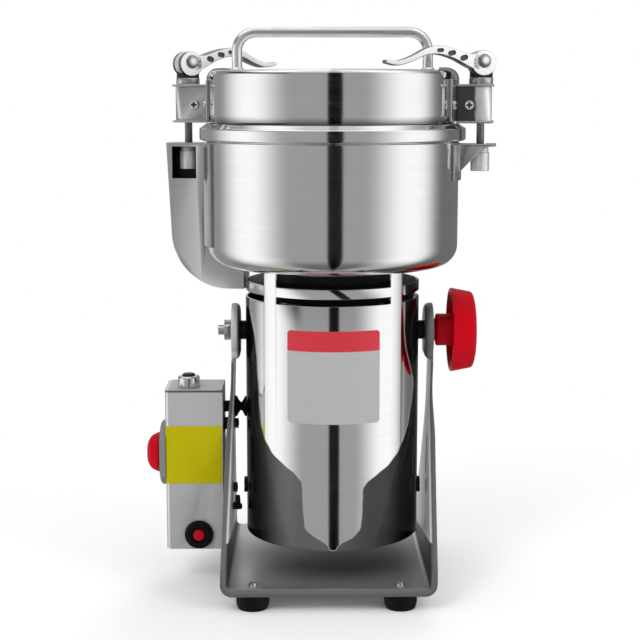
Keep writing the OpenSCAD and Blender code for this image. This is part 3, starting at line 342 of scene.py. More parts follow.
def brightMetal(name, colour, rough, grain=90.0, bump=0.06, metal=1.0):
    # plated or cast small parts
    graph = finish(name, metal=metal)
    cloud = graph.noise(grain, 4.0, 0.6)
    graph.set(colour=graph.tint(colour, (cloud.fade(0.35, 0.7), darker(colour, 0.85))),
              rough=cloud.fade(0.3, 0.7, rough, rough + 0.08))
    graph.bump(cloud, bump, 0.0001)
    return graph.material


lever = {"pin": 413.6, "left": 30.0, "right": 190.0, "half": 8.0, "boss": 9.6, "drop": 1.5,
         "slotHalf": 3.35, "slotEnd": 7.7, "recessDeep": 1.5,
         # distance from the pin, height, turn, length, width
         "recesses": ((16, 2.3, -18, 6.4, 4.2), (25.5, 5.8, -12, 6.4, 3.9), (34.5, 7.8, -4, 5.6, 3.0)),
         # distance from the pin, height of the middle line, thickness
         "line": ((4, -1, 13), (12, 0.6, 9.6), (22, 4.9, 7.6), (31, 7.5, 6.8), (38, 8.1, 6.2), (46, 6.4, 5),
                  (55, 1.9, 4.4), (64, -1.3, 4), (70, -1.6, 3.4), (76, -0.6, 2.4)),
         # colours: the pale cheeks, the painted shade on top and bottom faces, on faces turned down and in
         # the recesses, the rods, and the highlight painted in the middle of the pin heads
         "pale": (0.87, 0.87, 0.88), "dark": (0.17, 0.17, 0.175), "under": (0.04, 0.04, 0.041),
         "recessShade": (0.085, 0.085, 0.087), "pinEdge": (0.20, 0.20, 0.205), "pinHighlight": (0.86, 0.86, 0.87)}


def leverFrame(side):
    # direction of a lever and its pin, side is -1 for the left one
    turn = math.radians(lever["right" if side > 0 else "left"])
    pin = Vector((side * clamp["rod"] * clampCos, -side * clamp["rod"] * clampSin, lever["pin"])) * mm
    return math.cos(turn), math.sin(turn), pin


def leverCasting(name, side):
    # cast lever: pale cheeks, with painted shade on the top and bottom faces, darkest on faces turned down,
    # and in the oval recesses
    graph = finish(name, rough=0.42)
    c, d, pin = leverFrame(side)
    x, y, z = graph.parts()
    cloud = graph.noise(60.0, 3.0, 0.5)
    along, across, high = (x - pin.x) * c + (y - pin.y) * d, (y - pin.y) * c - (x - pin.x) * d, z - pin.z
    nx, ny, nz = graph.parts(graph.add("ShaderNodeTexCoord", out=1))
    cheek = abs(ny * c - nx * d)
    oval = 0.0
    for at, up, turn, length, wide in lever["recesses"]:
        p, q = math.cos(math.radians(turn)), -math.sin(math.radians(turn))
        a, b = (along - at * mm) * p - (high - up * mm) * q, (along - at * mm) * q + (high - up * mm) * p
        a, b = a * (1000 / (length / 2 + 0.25)), b * (1000 / (wide / 2 + 0.25))
        oval = (a * a + b * b).fade(0.9, 1.05, 1.0, 0.0) + oval
    # painted shade in the oval recesses, and on the top and bottom faces by the way they face
    recessShadeMask = oval * abs(across).fade((lever["half"] - 0.15) * mm, (lever["half"] - 0.05) * mm, 1.0, 0.0)
    edges = graph.tint(lever["under"], (nz.fade(-0.5, 0.2), lever["dark"]))
    tone = graph.tint(lever["pale"], (cloud.fade(0.3, 0.7), darker(lever["pale"], 0.95)),
                      (cheek.fade(0.45, 0.85, 1.0, 0.0), edges), (recessShadeMask, lever["recessShade"]))
    graph.set(colour=tone, metal=cheek.fade(0.5, 0.9, 0.3, 0.05))
    graph.bump(cloud, 0.01, 0.0001)
    return graph.material


def rodSteel(name):
    # dark rods; a highlight is painted on the heads of their pins, bright towards the middle
    graph = finish(name, rough=0.3)
    x, y, z = graph.parts()
    cloud = graph.noise(60.0, 3.0, 0.5)
    # painted highlight on each pin head, set a little off its middle, where the head is made less metallic
    pinHighlightMask = 0.0
    for side in (-1, 1):
        c, d, pin = leverFrame(side)
        a, b = (x - pin.x) * c + (y - pin.y) * d + side * 0.0008, z - pin.z - 0.0006
        pinHighlightMask = (a * a + b * b).root().fade(0.0006, 0.0048, 1.0, 0.0) + pinHighlightMask
    tone = graph.tint(lever["pinEdge"], (cloud.fade(0.3, 0.7), darker(lever["pinEdge"], 0.9)),
                      (pinHighlightMask, lever["pinHighlight"]))
    graph.set(colour=tone, metal=pinHighlightMask.fade(0.0, 1.0, 0.8, 0.1))
    graph.bump(cloud, 0.01, 0.0001)
    return graph.material


# distances of the screw heads from the barrel's axis and from the middle of a clamp
screws = {"front": 107.0, "strap": 22.1, "z": 380.4,
          # plated colour, and the colour of the painted shade in the cross and round the head
          "plain": (0.82, 0.82, 0.83), "dark": (0.05, 0.05, 0.052)}


def screwSteel(name):
    # plated screw heads with a painted shade cross and a dark painted ring round each head
    graph, s = finish(name, metal=0.7), screws
    x, y, z = graph.parts()
    cloud = graph.noise(90.0, 3.0, 0.5)
    v = z - s["z"] * mm
    crossShade = 0.0
    for side in (-1, 1):
        c, d = side * clampCos, -side * clampSin
        out, across = x * c + y * d, abs(y * c - x * d)
        front = across.fade(0.0128, 0.0132) * (out - s["front"] * mm).near(0, 0.005, 0.0005)
        back = (out - 0.09).fade(0.0, 0.001) * (across - s["strap"] * mm).near(0, 0.005, 0.0005)
        for here, u in ((front, out - s["front"] * mm), (back, across - s["strap"] * mm)):
            # painted shade: a dark cross for the recess and a dark ring round the head
            bars = [a.near(0, 0.0006, 0.0003) * b.near(0, 0.0021, 0.0004) for a, b in ((u, v), (v, u))]
            edge = (u * u + v * v).root().fade(0.0031, 0.0037)
            crossShade = here * bars[0].most(bars[1]).most(edge * 0.8) + crossShade
    tone = graph.tint(s["plain"], (cloud.fade(0.3, 0.7), darker(s["plain"], 0.9)), (crossShade, s["dark"]))
    graph.set(colour=tone, rough=cloud.fade(0.3, 0.7, 0.25, 0.33))
    graph.bump(cloud, 0.03, 0.0001)
    return graph.material


# plastics, rubber and paint

def moulded(name, colour, rough, coat=0.0, grain=1500.0, bump=0.05, shade=0.9, gloss=0.2):
    graph = finish(name, coatRough=0.08, coat=coat, gloss=gloss)
    fine = graph.noise(grain, 2.0, 0.5)
    dust = graph.noise(30.0, 4.0, 0.6)
    graph.set(colour=graph.tint(colour, (dust.fade(0.35, 0.7), darker(colour, shade))),
              rough=dust.fade(0.3, 0.7, rough, rough + 0.06))
    graph.bump(fine, bump, 0.00008)
    return graph.material


# paint colour, the painted highlight along the left edge, and the painted shade line under the lid
boxShade = {"paint": (0.37, 0.37, 0.378), "edge": -130.5, "shine": (0.80, 0.80, 0.81), "seamShade": 157.3,
            "dark": (0.06, 0.06, 0.062)}


def boxPaint(name, rough):
    # powder paint with its fine orange peel, a painted highlight along the left edge and a painted shade line
    # under the lid
    graph, shade = finish(name), boxShade
    peel = graph.noise(700.0, 2.0, 0.45)
    dust = graph.noise(14.0, 4.0, 0.6)
    x, y, z = graph.parts()
    # painted highlight along the left edge, then the painted shade line under the lid
    shine = x.near(shade["edge"] * mm, 0.3 * mm, 0.7 * mm) * 0.7
    seamShade = z.near(shade["seamShade"] * mm, 0.6 * mm, 0.4 * mm) * 0.9
    tone = graph.tint(shade["paint"], (dust.fade(0.35, 0.75), darker(shade["paint"], 0.93)),
                      (shine, shade["shine"]), (seamShade, shade["dark"]))
    graph.set(colour=tone, rough=peel.fade(0.3, 0.7, rough - 0.03, rough + 0.05))
    graph.bump(peel, 0.08, 0.00012)
    return graph.material


def printedPlate(name, plain, stripe, low, high):
    # bare metal plate with one coloured stripe between the heights low and high
    graph = finish(name)
    z = graph.parts()[2]
    fibre = graph.noise(1.0, 2.0, 0.5, graph.where((60, 60, 1500)))
    inStripe = z.near((low + high) / 2, (high - low) / 2, 0.0002)
    ink = graph.tint(stripe, (fibre.fade(0.2, 0.8), darker(stripe, 0.93)))
    tone = graph.tint(plain, (fibre.fade(0.3, 0.7), darker(plain, 0.94)), (inStripe, ink))
    graph.set(colour=tone, rough=fibre.fade(0.3, 0.7, 0.34, 0.42))
    graph.bump(fibre, 0.05, 0.00003)
    return graph.material


dialGrey = (0.20, 0.205, 0.215)
materials = {
    "bowl": turnedSteel("bowlSteel", (0.80, 0.80, 0.80), 0.08),
    # the lid's lower edge at 366.6 mm carries its painted shade band
    "lid": turnedSteel("lidSteel", (0.80, 0.80, 0.80), 0.075, 0.3666),
    "barrel": barrelSteel("barrelSteel"),
    "stand": standSteel("standSteel"),
    "bracket": sheetSteel("bracketSteel", (0.62, 0.62, 0.62), 0.26),
    "grip": bracketSteel("gripSteel", (0.62, 0.62, 0.62), 0.30),
    "rod": rodSteel("rodSteel"),
    "housing": housingSteel("housingSteel"),
    "handle": brightMetal("handleSteel", (0.86, 0.86, 0.87), 0.2, 30.0, 0.004, 0.85),
    "zinc": brightMetal("zincSteel", (0.62, 0.62, 0.64), 0.2),
    "nut": brightMetal("nutSteel", (0.72, 0.72, 0.73), 0.3, metal=0.6),
    "collar": brightMetal("collarSteel", (0.62, 0.62, 0.63), 0.25, 40.0, 0.01),
    "leftLever": leverCasting("leftLeverCast", -1),
    "rightLever": leverCasting("rightLeverCast", 1),
    "screw": screwSteel("screwHeads"),
    "blade": brightMetal("bladeSteel", (0.6, 0.6, 0.62), 0.18),
    "chrome": brightMetal("chromeRing", (0.8, 0.8, 0.82), 0.08, 60.0, 0.02),
    "darkInside": moulded("darkCasting", (0.012, 0.012, 0.013), 0.5, 0.0, 300.0, 0.3),
    "box": boxPaint("boxPaint", 0.42),
    "red": moulded("redPlastic", (0.52, 0.0, 0.008), 0.36, 0.02, gloss=0.07),
    "redKey": moulded("redKeyPlastic", (0.46, 0.004, 0.010), 0.3, 0.03, gloss=0.1),
    "black": moulded("blackPlastic", (0.014, 0.014, 0.014), 0.36),
    "rubber": moulded("blackRubber", (0.005, 0.005, 0.005), 0.5, 0.0, 500.0, 0.3, gloss=0.1),
    "yellow": moulded("yellowFilm", (0.44, 0.385, 0.001), 0.4, 0.0, 900.0, 0.05, 0.94, 0.08),
    "dial": printedPlate("dialPlate", dialGrey, dialGrey, 0.0, 0.001),
    "plate": printedPlate("ratingPlate", (0.40, 0.40, 0.405), (0.56, 0.018, 0.035), 0.1968, 0.2125),
    "copper": brightMetal("copperWire", (0.62, 0.26, 0.12), 0.35, 400.0, 0.4),
    "brass": brightMetal("brassParts", (0.7, 0.52, 0.2), 0.25),
    "iron": brightMetal("coreIron", (0.2, 0.2, 0.21), 0.42, 500.0, 0.3),
    "seal": moulded("sealRubber", (0.72, 0.72, 0.69), 0.5),
    "cream": moulded("creamPlastic", (0.72, 0.69, 0.56), 0.4),
    "carbon": moulded("brushCarbon", (0.03, 0.03, 0.03), 0.6),
    "ink": moulded("dialInk", (0.015, 0.015, 0.015), 0.5),
}
print("materials made:", len(materials))


# making meshes

def newObject(name, bm, material):
    bmesh.ops.recalc_face_normals(bm, faces=bm.faces)
    mesh = bpy.data.meshes.new(name)
    bm.to_mesh(mesh)
    bm.free()
    obj = bpy.data.objects.new(name, mesh)
    bpy.context.scene.collection.objects.link(obj)
    mesh.materials.append(material)
    return obj


def applyModifiers(obj):
    bpy.context.view_layer.update()
    mesh = bpy.data.meshes.new_from_object(obj.evaluated_get(bpy.context.evaluated_depsgraph_get()))
    obj.modifiers.clear()
    obj.data = mesh


def settle(obj, angle=32):
    # applies the modifiers and sets smooth shading with sharp corners
    applyModifiers(obj)
    obj.data.shade_smooth()
    obj.data.set_sharp_from_angle(angle=math.radians(angle))
    return obj


def soften(obj, width, segments=2, angle=34):
    # rounds the edges by width in metres
    bevel = obj.modifiers.new("edges", "BEVEL")
    bevel.width, bevel.segments, bevel.limit_method = width, segments, "ANGLE"
    bevel.angle_limit = math.radians(angle)
    bevel.harden_normals = True


def place(obj, body, slotName, *nodes):
    if nodes:
        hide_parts(*nodes)
    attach(obj, body)


def addPiece(name, bm, key, body, slotName, *nodes, angle=32):
    place(settle(newObject(name, bm, materials[key]), angle), body, slotName, *nodes)


def refine(node, body, slotName, material, width):
    # the CAD piece with its flat faces joined up and its edges rounded
    bm = bmesh.new()
    bm.from_mesh(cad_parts[node].data)
    bmesh.ops.remove_doubles(bm, verts=bm.verts, dist=0.000002)
    bmesh.ops.dissolve_limit(bm, angle_limit=math.radians(1.2), verts=bm.verts, edges=bm.edges)
    obj = newObject(node + "Soft", bm, material)
    soften(obj, width * mm)
    place(settle(obj), body, slotName, node)


def rounded(points, steps):
    # polyline (a, b, radius) in mm with each corner rounded by its radius
    out = []
    for i, (a, b, radius) in enumerate(points):
        here = Vector((a, b))
        if radius <= 0 or i in (0, len(points) - 1):
            out.append(here)
            continue
        before, after = Vector(points[i - 1][:2]) - here, Vector(points[i + 1][:2]) - here
        half = before.angle(after) / 2
        reach = min(radius / math.tan(half), before.length * 0.49, after.length * 0.49)
        size = reach * math.tan(half)
        middle = here + (before.normalized() + after.normalized()).normalized() * (size / math.sin(half))
        start, end = here + before.normalized() * reach - middle, here + after.normalized() * reach - middle
        sweep = start.angle_signed(end)
        for k in range(steps + 1):
            turn = Matrix.Rotation(-sweep * k / steps, 2)
            out.append(middle + turn @ start)
    return out


def lathe(bm, points, steps, segments, centre=(0, 0, 0), axis="Z", closed=False):
    # turns the rounded profile (radius, height, corner) in mm round an axis through centre
    turn = {"Z": Matrix.Identity(3), "X": Matrix.Rotation(math.pi / 2, 3, "Y"),
            "-Y": Matrix.Rotation(math.pi / 2, 3, "X")}[axis]
    rings = []
    for radius, height in rounded(points, steps):
        count = 1 if radius < 1e-6 else segments
        rings.append([bm.verts.new((turn @ Vector((radius * math.cos(2 * math.pi * k / segments),
                                                    radius * math.sin(2 * math.pi * k / segments), height))
                                    + Vector(centre)) * mm) for k in range(count)])
    pairs = list(zip(rings, rings[1:] + rings[:1])) if closed else list(zip(rings, rings[1:]))
    for low, high in pairs:
        for k in range(segments):
            n = (k + 1) % segments
            corners = [low[k % len(low)], low[n % len(low)], high[n % len(high)], high[k % len(high)]]
            unique = list(dict.fromkeys(corners))
            if len(unique) > 2:
                bm.faces.new(unique)


def skin(bm, rings):
    # faces between rings with the same number of points, and over both ends
    for low, high in zip(rings, rings[1:]):
        for k in range(len(low)):
            n = (k + 1) % len(low)
            bm.faces.new([low[k], low[n], high[n], high[k]])
    bm.faces.new(rings[0])
    bm.faces.new(list(reversed(rings[-1])))


def prism(bm, outline, thickness, toPlace):
    # outline of (a, b) in mm, thickened evenly; toPlace(a, b, t) gives the point
    low = [bm.verts.new(toPlace(a, b, -thickness / 2) * mm) for a, b in outline]
    high = [bm.verts.new(toPlace(a, b, thickness / 2) * mm) for a, b in outline]
    bm.faces.new(low)
    bm.faces.new(list(reversed(high)))
    for i in range(len(outline)):
        n = (i + 1) % len(outline)
        bm.faces.new([low[i], high[i], high[n], low[n]])


def carve(obj, cutters):
    # takes the cutter meshes out of obj
    for bm in cutters:
        cutter = newObject(obj.name + "Cutter", bm, materials["black"])
        tool = obj.modifiers.new("hole", "BOOLEAN")
        tool.operation, tool.solver, tool.object = "DIFFERENCE", "EXACT", cutter
        applyModifiers(obj)
        bpy.data.objects.remove(cutter)
    return obj


def slotOutline(width, length, steps=10):
    # slot with round ends, its length upright
    half = (length - width) / 2
    top = [(width / 2 * math.cos(math.pi * k / steps), half + width / 2 * math.sin(math.pi * k / steps))
           for k in range(steps + 1)]
    return top + [(-a, -b) for a, b in top]


stand = {"left": 81.2, "right": 73.2, "top": 77.2, "plateZ": 17.5, "bend": 3.4, "sheet": 2.5,
         "depth": 90.0, "armDepth": 89.2, "neckHalf": 15.5,
         "flareTop": 145.5, "flareLow": 28.0, "flarePower": 1.15,
         "lip": 5.3, "lipTop": 2.62, "lipFrom": 165.0, "lipTo": 118.0,
         "pivotZ": 203.0, "earLow": 181.5, "earX": 73.0, "earR": 21.5, "band": 6.7,
         "earBend": 4.0, "earCorner": 4.2,
         # rounds that smooth the outline, and steps over the width of the sheet
         "smooth": 14, "across": 16,
         # slots through both arms: distance from the middle, height, width and length
         "slots": ((-12, 104.5, 9, 34), (-18, 78.5, 9, 13)), "slotX": (-80, 76), "slotDeep": 22}


def armHalfWidth(z):
    s = stand
    t = max(0.0, min(1.0, (s["flareTop"] - z) / (s["flareTop"] - s["flareLow"])))
    return s["neckHalf"] + (s["armDepth"] - s["neckHalf"]) * t ** s["flarePower"]


def edgeSection(lip, sheet, bend):
    # from the flat inner face round the bend and its rim to the outer face: (inset, out)
    small = max(0.04, bend - sheet)
    turn = [math.pi / 2 * k / 6 for k in range(7)]
    rim = min(0.55, lip - bend)
    inner = [(bend - bend * math.sin(t), bend - bend * math.cos(t)) for t in turn]
    outer = [(bend - small * math.sin(t), bend - small * math.cos(t)) for t in reversed(turn)]
    return inner + [(0.0, lip - rim), (rim * 0.3, lip - rim * 0.3), (rim, lip), (sheet - rim, lip),
                    (sheet - rim * 0.3, lip - rim * 0.3), (sheet, lip - rim)] + outer


def makeStandSheet():
    # the bent sheet below the ears, lofted along its inner face from the left ear to the right one
    s = stand
    top = s["earLow"] + 1.2
    line = rounded([(-s["top"], top, 0), (-s["left"], s["plateZ"], s["bend"]),
                    (s["right"], s["plateZ"], s["bend"]), (s["top"], top, 0)], 8)
    path = []
    for a, b in zip(line, line[1:]):
        count = max(1, round((b - a).length / 1.6))
        path += [a.lerp(b, k / count) for k in range(count)]
    path.append(line[-1])
    run = [0.0]
    for a, b in zip(path, path[1:]):
        run.append(run[-1] + (b - a).length)
    halves = [s["depth"] if p.y < s["plateZ"] + 0.5 else armHalfWidth(p.y) for p in path]
    for _ in range(s["smooth"]):
        inner = [(a + 2 * b + c) / 4 for a, b, c in zip(halves, halves[1:], halves[2:])]
        halves = [halves[0]] + inner + [halves[-1]]

    def spot(u, v, out):
        # point at length u along the sheet, v from its middle and out from its inner face
        k = next((i for i in range(len(run) - 2) if run[i + 1] >= u), len(run) - 2)
        step = (path[k + 1] - path[k]).normalized()
        ahead = (path[min(k + 2, len(path) - 1)] - path[max(k - 1, 0)]).normalized()
        q = path[k] + step * (u - run[k]) + Vector((ahead.y, -ahead.x)) * out
        return Vector((q.x, v, q.y))

    bm = bmesh.new()
    grid = []
    for i, (u, w) in enumerate(zip(run, halves)):
        a, b = max(0, i - 1), min(len(run) - 1, i + 1)
        normal = Vector((halves[a] - halves[b], run[b] - run[a])).normalized()
        rise = min(1.0, max(0.0, (s["lipFrom"] - path[i].y) / (s["lipFrom"] - s["lipTo"])))
        lip = s["lipTop"] + (s["lip"] - s["lipTop"]) * rise * rise * (3 - 2 * rise)
        section = edgeSection(lip, s["sheet"], max(s["sheet"] + 0.05, lip - 0.65))
        side = [(u - m * normal.x, w - m * normal.y, out) for m, out in section]
        low, high = side[-1], side[0]
        over = [2 * k / s["across"] - 1 for k in range(1, s["across"])]
        outer = [(low[0], -low[1] * share, low[2]) for share in over]
        inner = [(high[0], high[1] * share, high[2]) for share in over]
        row = side + outer + [(p, -q, out) for p, q, out in reversed(side)] + inner
        grid.append([bm.verts.new(spot(*p) * mm) for p in row])
    skin(bm, grid)
    return newObject("standSheet", bm, materials["stand"])


def makeEar(side):
    # pressed dish with a band all round; side is -1 for the left ear
    s = stand
    half, drop, corner = s["neckHalf"], math.sqrt(s["earR"] ** 2 - s["neckHalf"] ** 2), s["earCorner"]
    a0 = math.atan2(-drop, half)
    arc = [(s["earR"] * math.cos(a), s["earR"] * math.sin(a)) for a in
           [a0 + (math.pi - 2 * a0) * k / 72 for k in range(73)]]
    foot = rounded([(-half, -drop, 0), (-half, -s["earR"], corner), (half, -s["earR"], corner),
                    (half, -drop, 0)], 8)
    outline = arc + [(p.x, p.y) for p in foot[1:-1]]
    rings = []
    bm = bmesh.new()
    for inset, out in edgeSection(s["band"], s["sheet"], s["earBend"]):
        ring = []
        for k, (a, b) in enumerate(outline):
            before, after = outline[k - 1], outline[(k + 1) % len(outline)]
            along = Vector((after[0] - before[0], after[1] - before[1])).normalized()
            ring.append(bm.verts.new(Vector((side * (s["earX"] + out), a - along.y * inset,
                                             s["pivotZ"] + b + along.x * inset)) * mm))
        rings.append(ring)
    skin(bm, rings)
    return newObject("ear", bm, materials["stand"])


standSheet = makeStandSheet()
cutters = []
for x in stand["slotX"]:
    for y, z, width, length in stand["slots"]:
        bm = bmesh.new()
        prism(bm, [(y + a, z + b) for a, b in slotOutline(width, length)], stand["slotDeep"],
              lambda a, b, t, x=x: Vector((x + t, a, b)))
        cutters.append(bm)
carve(standSheet, cutters)
place(settle(standSheet, 40), "stand", "stand_steel", "base_frame")
for side in (-1, 1):
    place(settle(makeEar(side), 40), "stand", "stand_steel", "base_frame")
print("stand made")

feet = {"x": 56.5, "y": 77.0, "middle": -5.4, "radius": 13.0, "neck": 10.2, "shoulder": 11.9, "high": 15.0}
bm = bmesh.new()
for sx in (-1, 1):
    for sy in (-1, 1):
        r, h, edge = feet["radius"], feet["high"], feet["shoulder"]
        lathe(bm, [
            (0, 5, 0), (4.5, 5, 0.3), (4.5, 0, 0.6), (r - 1.6, 0, 1.4), (r - 0.3, 4, 6), (r, edge, 0.6),
            (feet["neck"], edge + 0.1, 0.2), (feet["neck"], h, 0.2), (0, h, 0)],
            4, 48, (feet["middle"] + sx * feet["x"], sy * feet["y"], 0))
addPiece("feetRubber", bm, "rubber", "stand", "foot_rubber", "rubber_feet")


# heights of the slots, and half width of the pillars between them in degrees
barrel = {"radius": barrelShade["radius"], "wall": 2.0, "low": 41.6, "high": 256.2,
          "slots": ((231.3, 236.3), (244.0, 254.0)), "pillar": 5.5, "pillarAngles": (45, 135, 225, 315)}


def makeBarrel():
    b = barrel
    rOut, rIn = b["radius"], b["radius"] - b["wall"]
    (s0, s1), (s2, s3) = b["slots"]
    bm = bmesh.new()
    # rows of cells round the tube; open cells are left out and the walls closed beside them
    segments = 192
    levels = [b["low"], b["low"] + 1, s0, s1, s2, s3, b["high"]]
    angles = [2 * math.pi * k / segments for k in range(segments)]

    def isOpen(row, k):
        middle = math.degrees(angles[k]) + 180 / segments
        return row in (2, 4) and all(
            abs((middle - pillar + 180) % 360 - 180) > b["pillar"] for pillar in b["pillarAngles"])

    def wallOf(r):
        return [[bm.verts.new(Vector((r * math.cos(a), r * math.sin(a), z)) * mm) for a in angles]
                for z in levels]

    outer, inner = wallOf(rOut), wallOf(rIn)
    for row in range(len(levels) - 1):
        for k in range(segments):
            n = (k + 1) % segments
            if isOpen(row, k):
                continue
            for wall in (outer, inner):
                bm.faces.new([wall[row][k], wall[row][n], wall[row + 1][n], wall[row + 1][k]])
            for beside, at in (((k - 1) % segments, k), (n, n)):
                if isOpen(row, beside):
                    bm.faces.new([outer[row][at], inner[row][at], inner[row + 1][at], outer[row + 1][at]])
            for other, level in ((row - 1, row), (row + 1, row + 1)):
                if other < 0 or other >= len(levels) - 1 or isOpen(other, k):
                    bm.faces.new([outer[level][k], outer[level][n], inner[level][n], inner[level][k]])
    return newObject("barrelTube", bm, materials["barrel"])


barrelTube = makeBarrel()
soften(barrelTube, 0.5 * mm, 3, 50)
place(settle(barrelTube), "mill", "polished_steel", "barrel_shell")

# bare plate bent round the front of the barrel
label = {"halfAngle": 30.5, "low": 141.0, "high": 212.4, "thick": 0.35, "lift": 0.02, "corner": 2.0,
         "steps": 40}
radius, corner = barrel["radius"], label["corner"]
bm = bmesh.new()
rows = []
for k in range(label["steps"] + 1):
    a = -label["halfAngle"] + 2 * label["halfAngle"] * k / label["steps"]
    fromEdge = (label["halfAngle"] - abs(a)) * math.pi / 180 * radius
    cut = corner - math.sqrt(max(0.0, corner ** 2 - (corner - min(corner, fromEdge)) ** 2))
    c, d = math.sin(math.radians(a)), -math.cos(math.radians(a))
    low, high = label["low"] + cut, label["high"] - cut
    near, far = radius + label["lift"], radius + label["thick"]
    rows.append([bm.verts.new(Vector((r * c, r * d, z)) * mm) for r, z in
                 ((far, low), (far, high), (near, high), (near, low))])
skin(bm, rows)
addPiece("ratingPlate", bm, "plate", "mill", "plate_metal", "rating_label")
print("barrel made")


# closed profile from the floor of the bowl out to the rim and back down inside
bowl = {"radius": 98.6, "low": 256.2, "high": 366.3, "edge": 16.0, "rim": 103.8, "rimLow": 353.6,
        "mouth": 90.0, "wall": 1.8, "hole": 10.0}
r, low, high, rim = bowl["radius"], bowl["low"], bowl["high"], bowl["rim"]
bm = bmesh.new()
lathe(bm, [
    (bowl["hole"], low, 0), (r - 0.2, low, bowl["edge"]), (r, bowl["rimLow"] - 1, 1.2),
    (rim, bowl["rimLow"], 2.0), (rim, high - 3.6, 1.6), (rim - 3.4, high - 1.6, 2.4), (r - 0.6, high, 1.0),
    (bowl["mouth"], high, 0.5), (bowl["mouth"], high - 3, 0.4), (r - bowl["wall"], high - 3.6, 0.5),
    (r - bowl["wall"], low + 3, 14.0), (bowl["hole"], low + 3, 0)], 9, 224, closed=True)
addPiece("bowlShell", bm, "bowl", "mill", "satin_steel", "bowl", angle=40)

lid = {"radius": 96.0, "low": 366.6, "high": 406.6, "edge": 7.5, "groove": 398.6, "wall": 1.5, "roll": 1.3}
r, low, high = lid["radius"], lid["low"], lid["high"]
bm = bmesh.new()
lathe(bm, [
    (0, high - 1.0, 0), (60, high - 1.0, 20), (72, high, 20), (r - 0.4, high, lid["edge"]),
    (r - 0.1, lid["groove"], 0.4), (r, low + 6, 12), (r - lid["roll"], low, 0.3),
    (r - lid["wall"] - 1, low, 0.2), (r - lid["wall"], high - lid["wall"] - 1, 4),
    (0, high - lid["wall"] - 1, 0)], 9, 224)
addPiece("lidShell", bm, "lid", "lid", "satin_steel", "lid_shell", angle=40)

handle = {"span": 74.0, "bar": 4.0, "top": 436.0, "bend": 16.0, "foot": 406.6, "sides": 28}
span, foot = handle["span"], handle["foot"]
path = [Vector((p.x, 0, p.y)) for p in rounded([
    (-span, foot, 0), (-span, handle["top"], handle["bend"]), (span, handle["top"], handle["bend"]),
    (span, foot, 0)], 18)]
turns = [2 * math.pi * k / handle["sides"] for k in range(handle["sides"])]
flat = Vector((0, 1, 0))
bm = bmesh.new()
rings = []
for i, p in enumerate(path):
    ahead = (path[min(i + 1, len(path) - 1)] - path[max(i - 1, 0)]).normalized()
    up = ahead.cross(flat).normalized()
    rings.append([bm.verts.new((p + (flat * math.cos(a) + up * math.sin(a)) * handle["bar"]) * mm)
                  for a in turns])
skin(bm, rings)
for side in (-1, 1):
    # weld beads at both feet
    lathe(bm, [(0, foot, 0), (5.6, foot, 0.2), (5.4, foot + 1.2, 0.6), (4.0, foot + 2.6, 1.0),
               (0, foot + 2.8, 0)], 4, 40, (side * span, 0, 0))
addPiece("lidHandle", bm, "handle", "lid", "handle_steel", "lid_handle")
print("bowl and lid made")


lock = {"start": 75.8, "bore": 4.1, "neck": 8.8, "hub": 12.8, "hubEnd": 93.8, "wheel": 33.5, "face": 29.0,
        "width": 19.1, "wall": 3.0}
start, a, end = lock["start"], lock["hubEnd"], lock["hubEnd"] + lock["width"]
inside = end - lock["wall"] - 0.2
bm = bmesh.new()
lathe(bm, [
    (lock["bore"], start, 0), (lock["neck"], start, 0.5), (lock["neck"], start + 6.5, 0.6),
    (lock["hub"], start + 6.7, 1.2), (lock["hub"] - 0.4, inside, 1.5), (lock["face"] - 3.4, inside, 3),
    (lock["wheel"] - lock["wall"], a, 0.8), (lock["wheel"], a, 0.9), (lock["face"] + 1.2, end - 1.6, 3.6),
    (lock["face"] - 5.0, end, 8), (0, end, 0)], 7, 128, (0, 0, stand["pivotZ"]), "X")
addPiece("lockKnob", bm, "red", "lock_wheel", "red_knob", "lock_knob", angle=40)

timer = {"face": -137.6, "radius": 16.0, "length": 11.5, "z": 103.5, "flutes": 24, "depth": 0.4,
         "mark": 0.8}
r, length, mark = timer["radius"], timer["length"], timer["mark"]
bm = bmesh.new()
lathe(bm, [
    (0, 0.0, 0), (r - 1.5, 0.0, 0.6), (r, 1.2, 0.8), (r - 0.2, 2.6, 1.0), (r - 2.8, length - 3.6, 7.0),
    (r - 8, length - 0.8, 7.0), (0, length, 0)], 7, 240)
for v in bm.verts:
    # grip flutes round the side of the knob
    if math.hypot(v.co.x, v.co.y) / mm > r - 2.6 and v.co.z / mm > 1.2:
        angle = math.atan2(v.co.y, v.co.x)
        press = 1 - timer["depth"] / r * (0.5 + 0.5 * math.cos(timer["flutes"] * angle))
        v.co.x *= press
        v.co.y *= press
prism(bm, [(-mark, 1.0), (mark, 1.0), (mark, 8.0), (-mark, 8.0)], 1.6,
      lambda a, b, t: Vector((a, b, length - 0.9 + t)))
bm.transform(Matrix.Translation(Vector((timer["face"], 0, timer["z"])) * mm)
             @ Matrix.Rotation(-math.pi / 2, 4, "Y"))
addPiece("timerKnob", bm, "red", "timer_wheel", "red_knob", "timer_knob", angle=40)

# plain tick marks on the dial, every fourth one longer and wider
dial = {"face": -137.3, "tickIn": 19.0, "tickOut": 20.4, "ticks": 24, "from": 30, "turn": 300,
        "longer": 1.0, "half": 0.2, "wideHalf": 0.35, "thick": 0.06}
bm = bmesh.new()
for k in range(dial["ticks"] + 1):
    a = math.radians(dial["from"] + dial["turn"] * k / dial["ticks"])
    inner = dial["tickIn"] - (0.0 if k % 4 else dial["longer"])
    half = dial["half" if k % 4 else "wideHalf"]
    c, d = -math.sin(a), -math.cos(a)
    outline = [(c * at - d * h, d * at + c * h) for at, h in
               ((inner, -half), (dial["tickOut"], -half), (dial["tickOut"], half), (inner, half))]
    prism(bm, outline, dial["thick"], lambda a, b, t: Vector((dial["face"] + t, a, timer["z"] + b)))
addPiece("dialTicks", bm, "ink", "stand", "dial_plate")
print("knobs made")


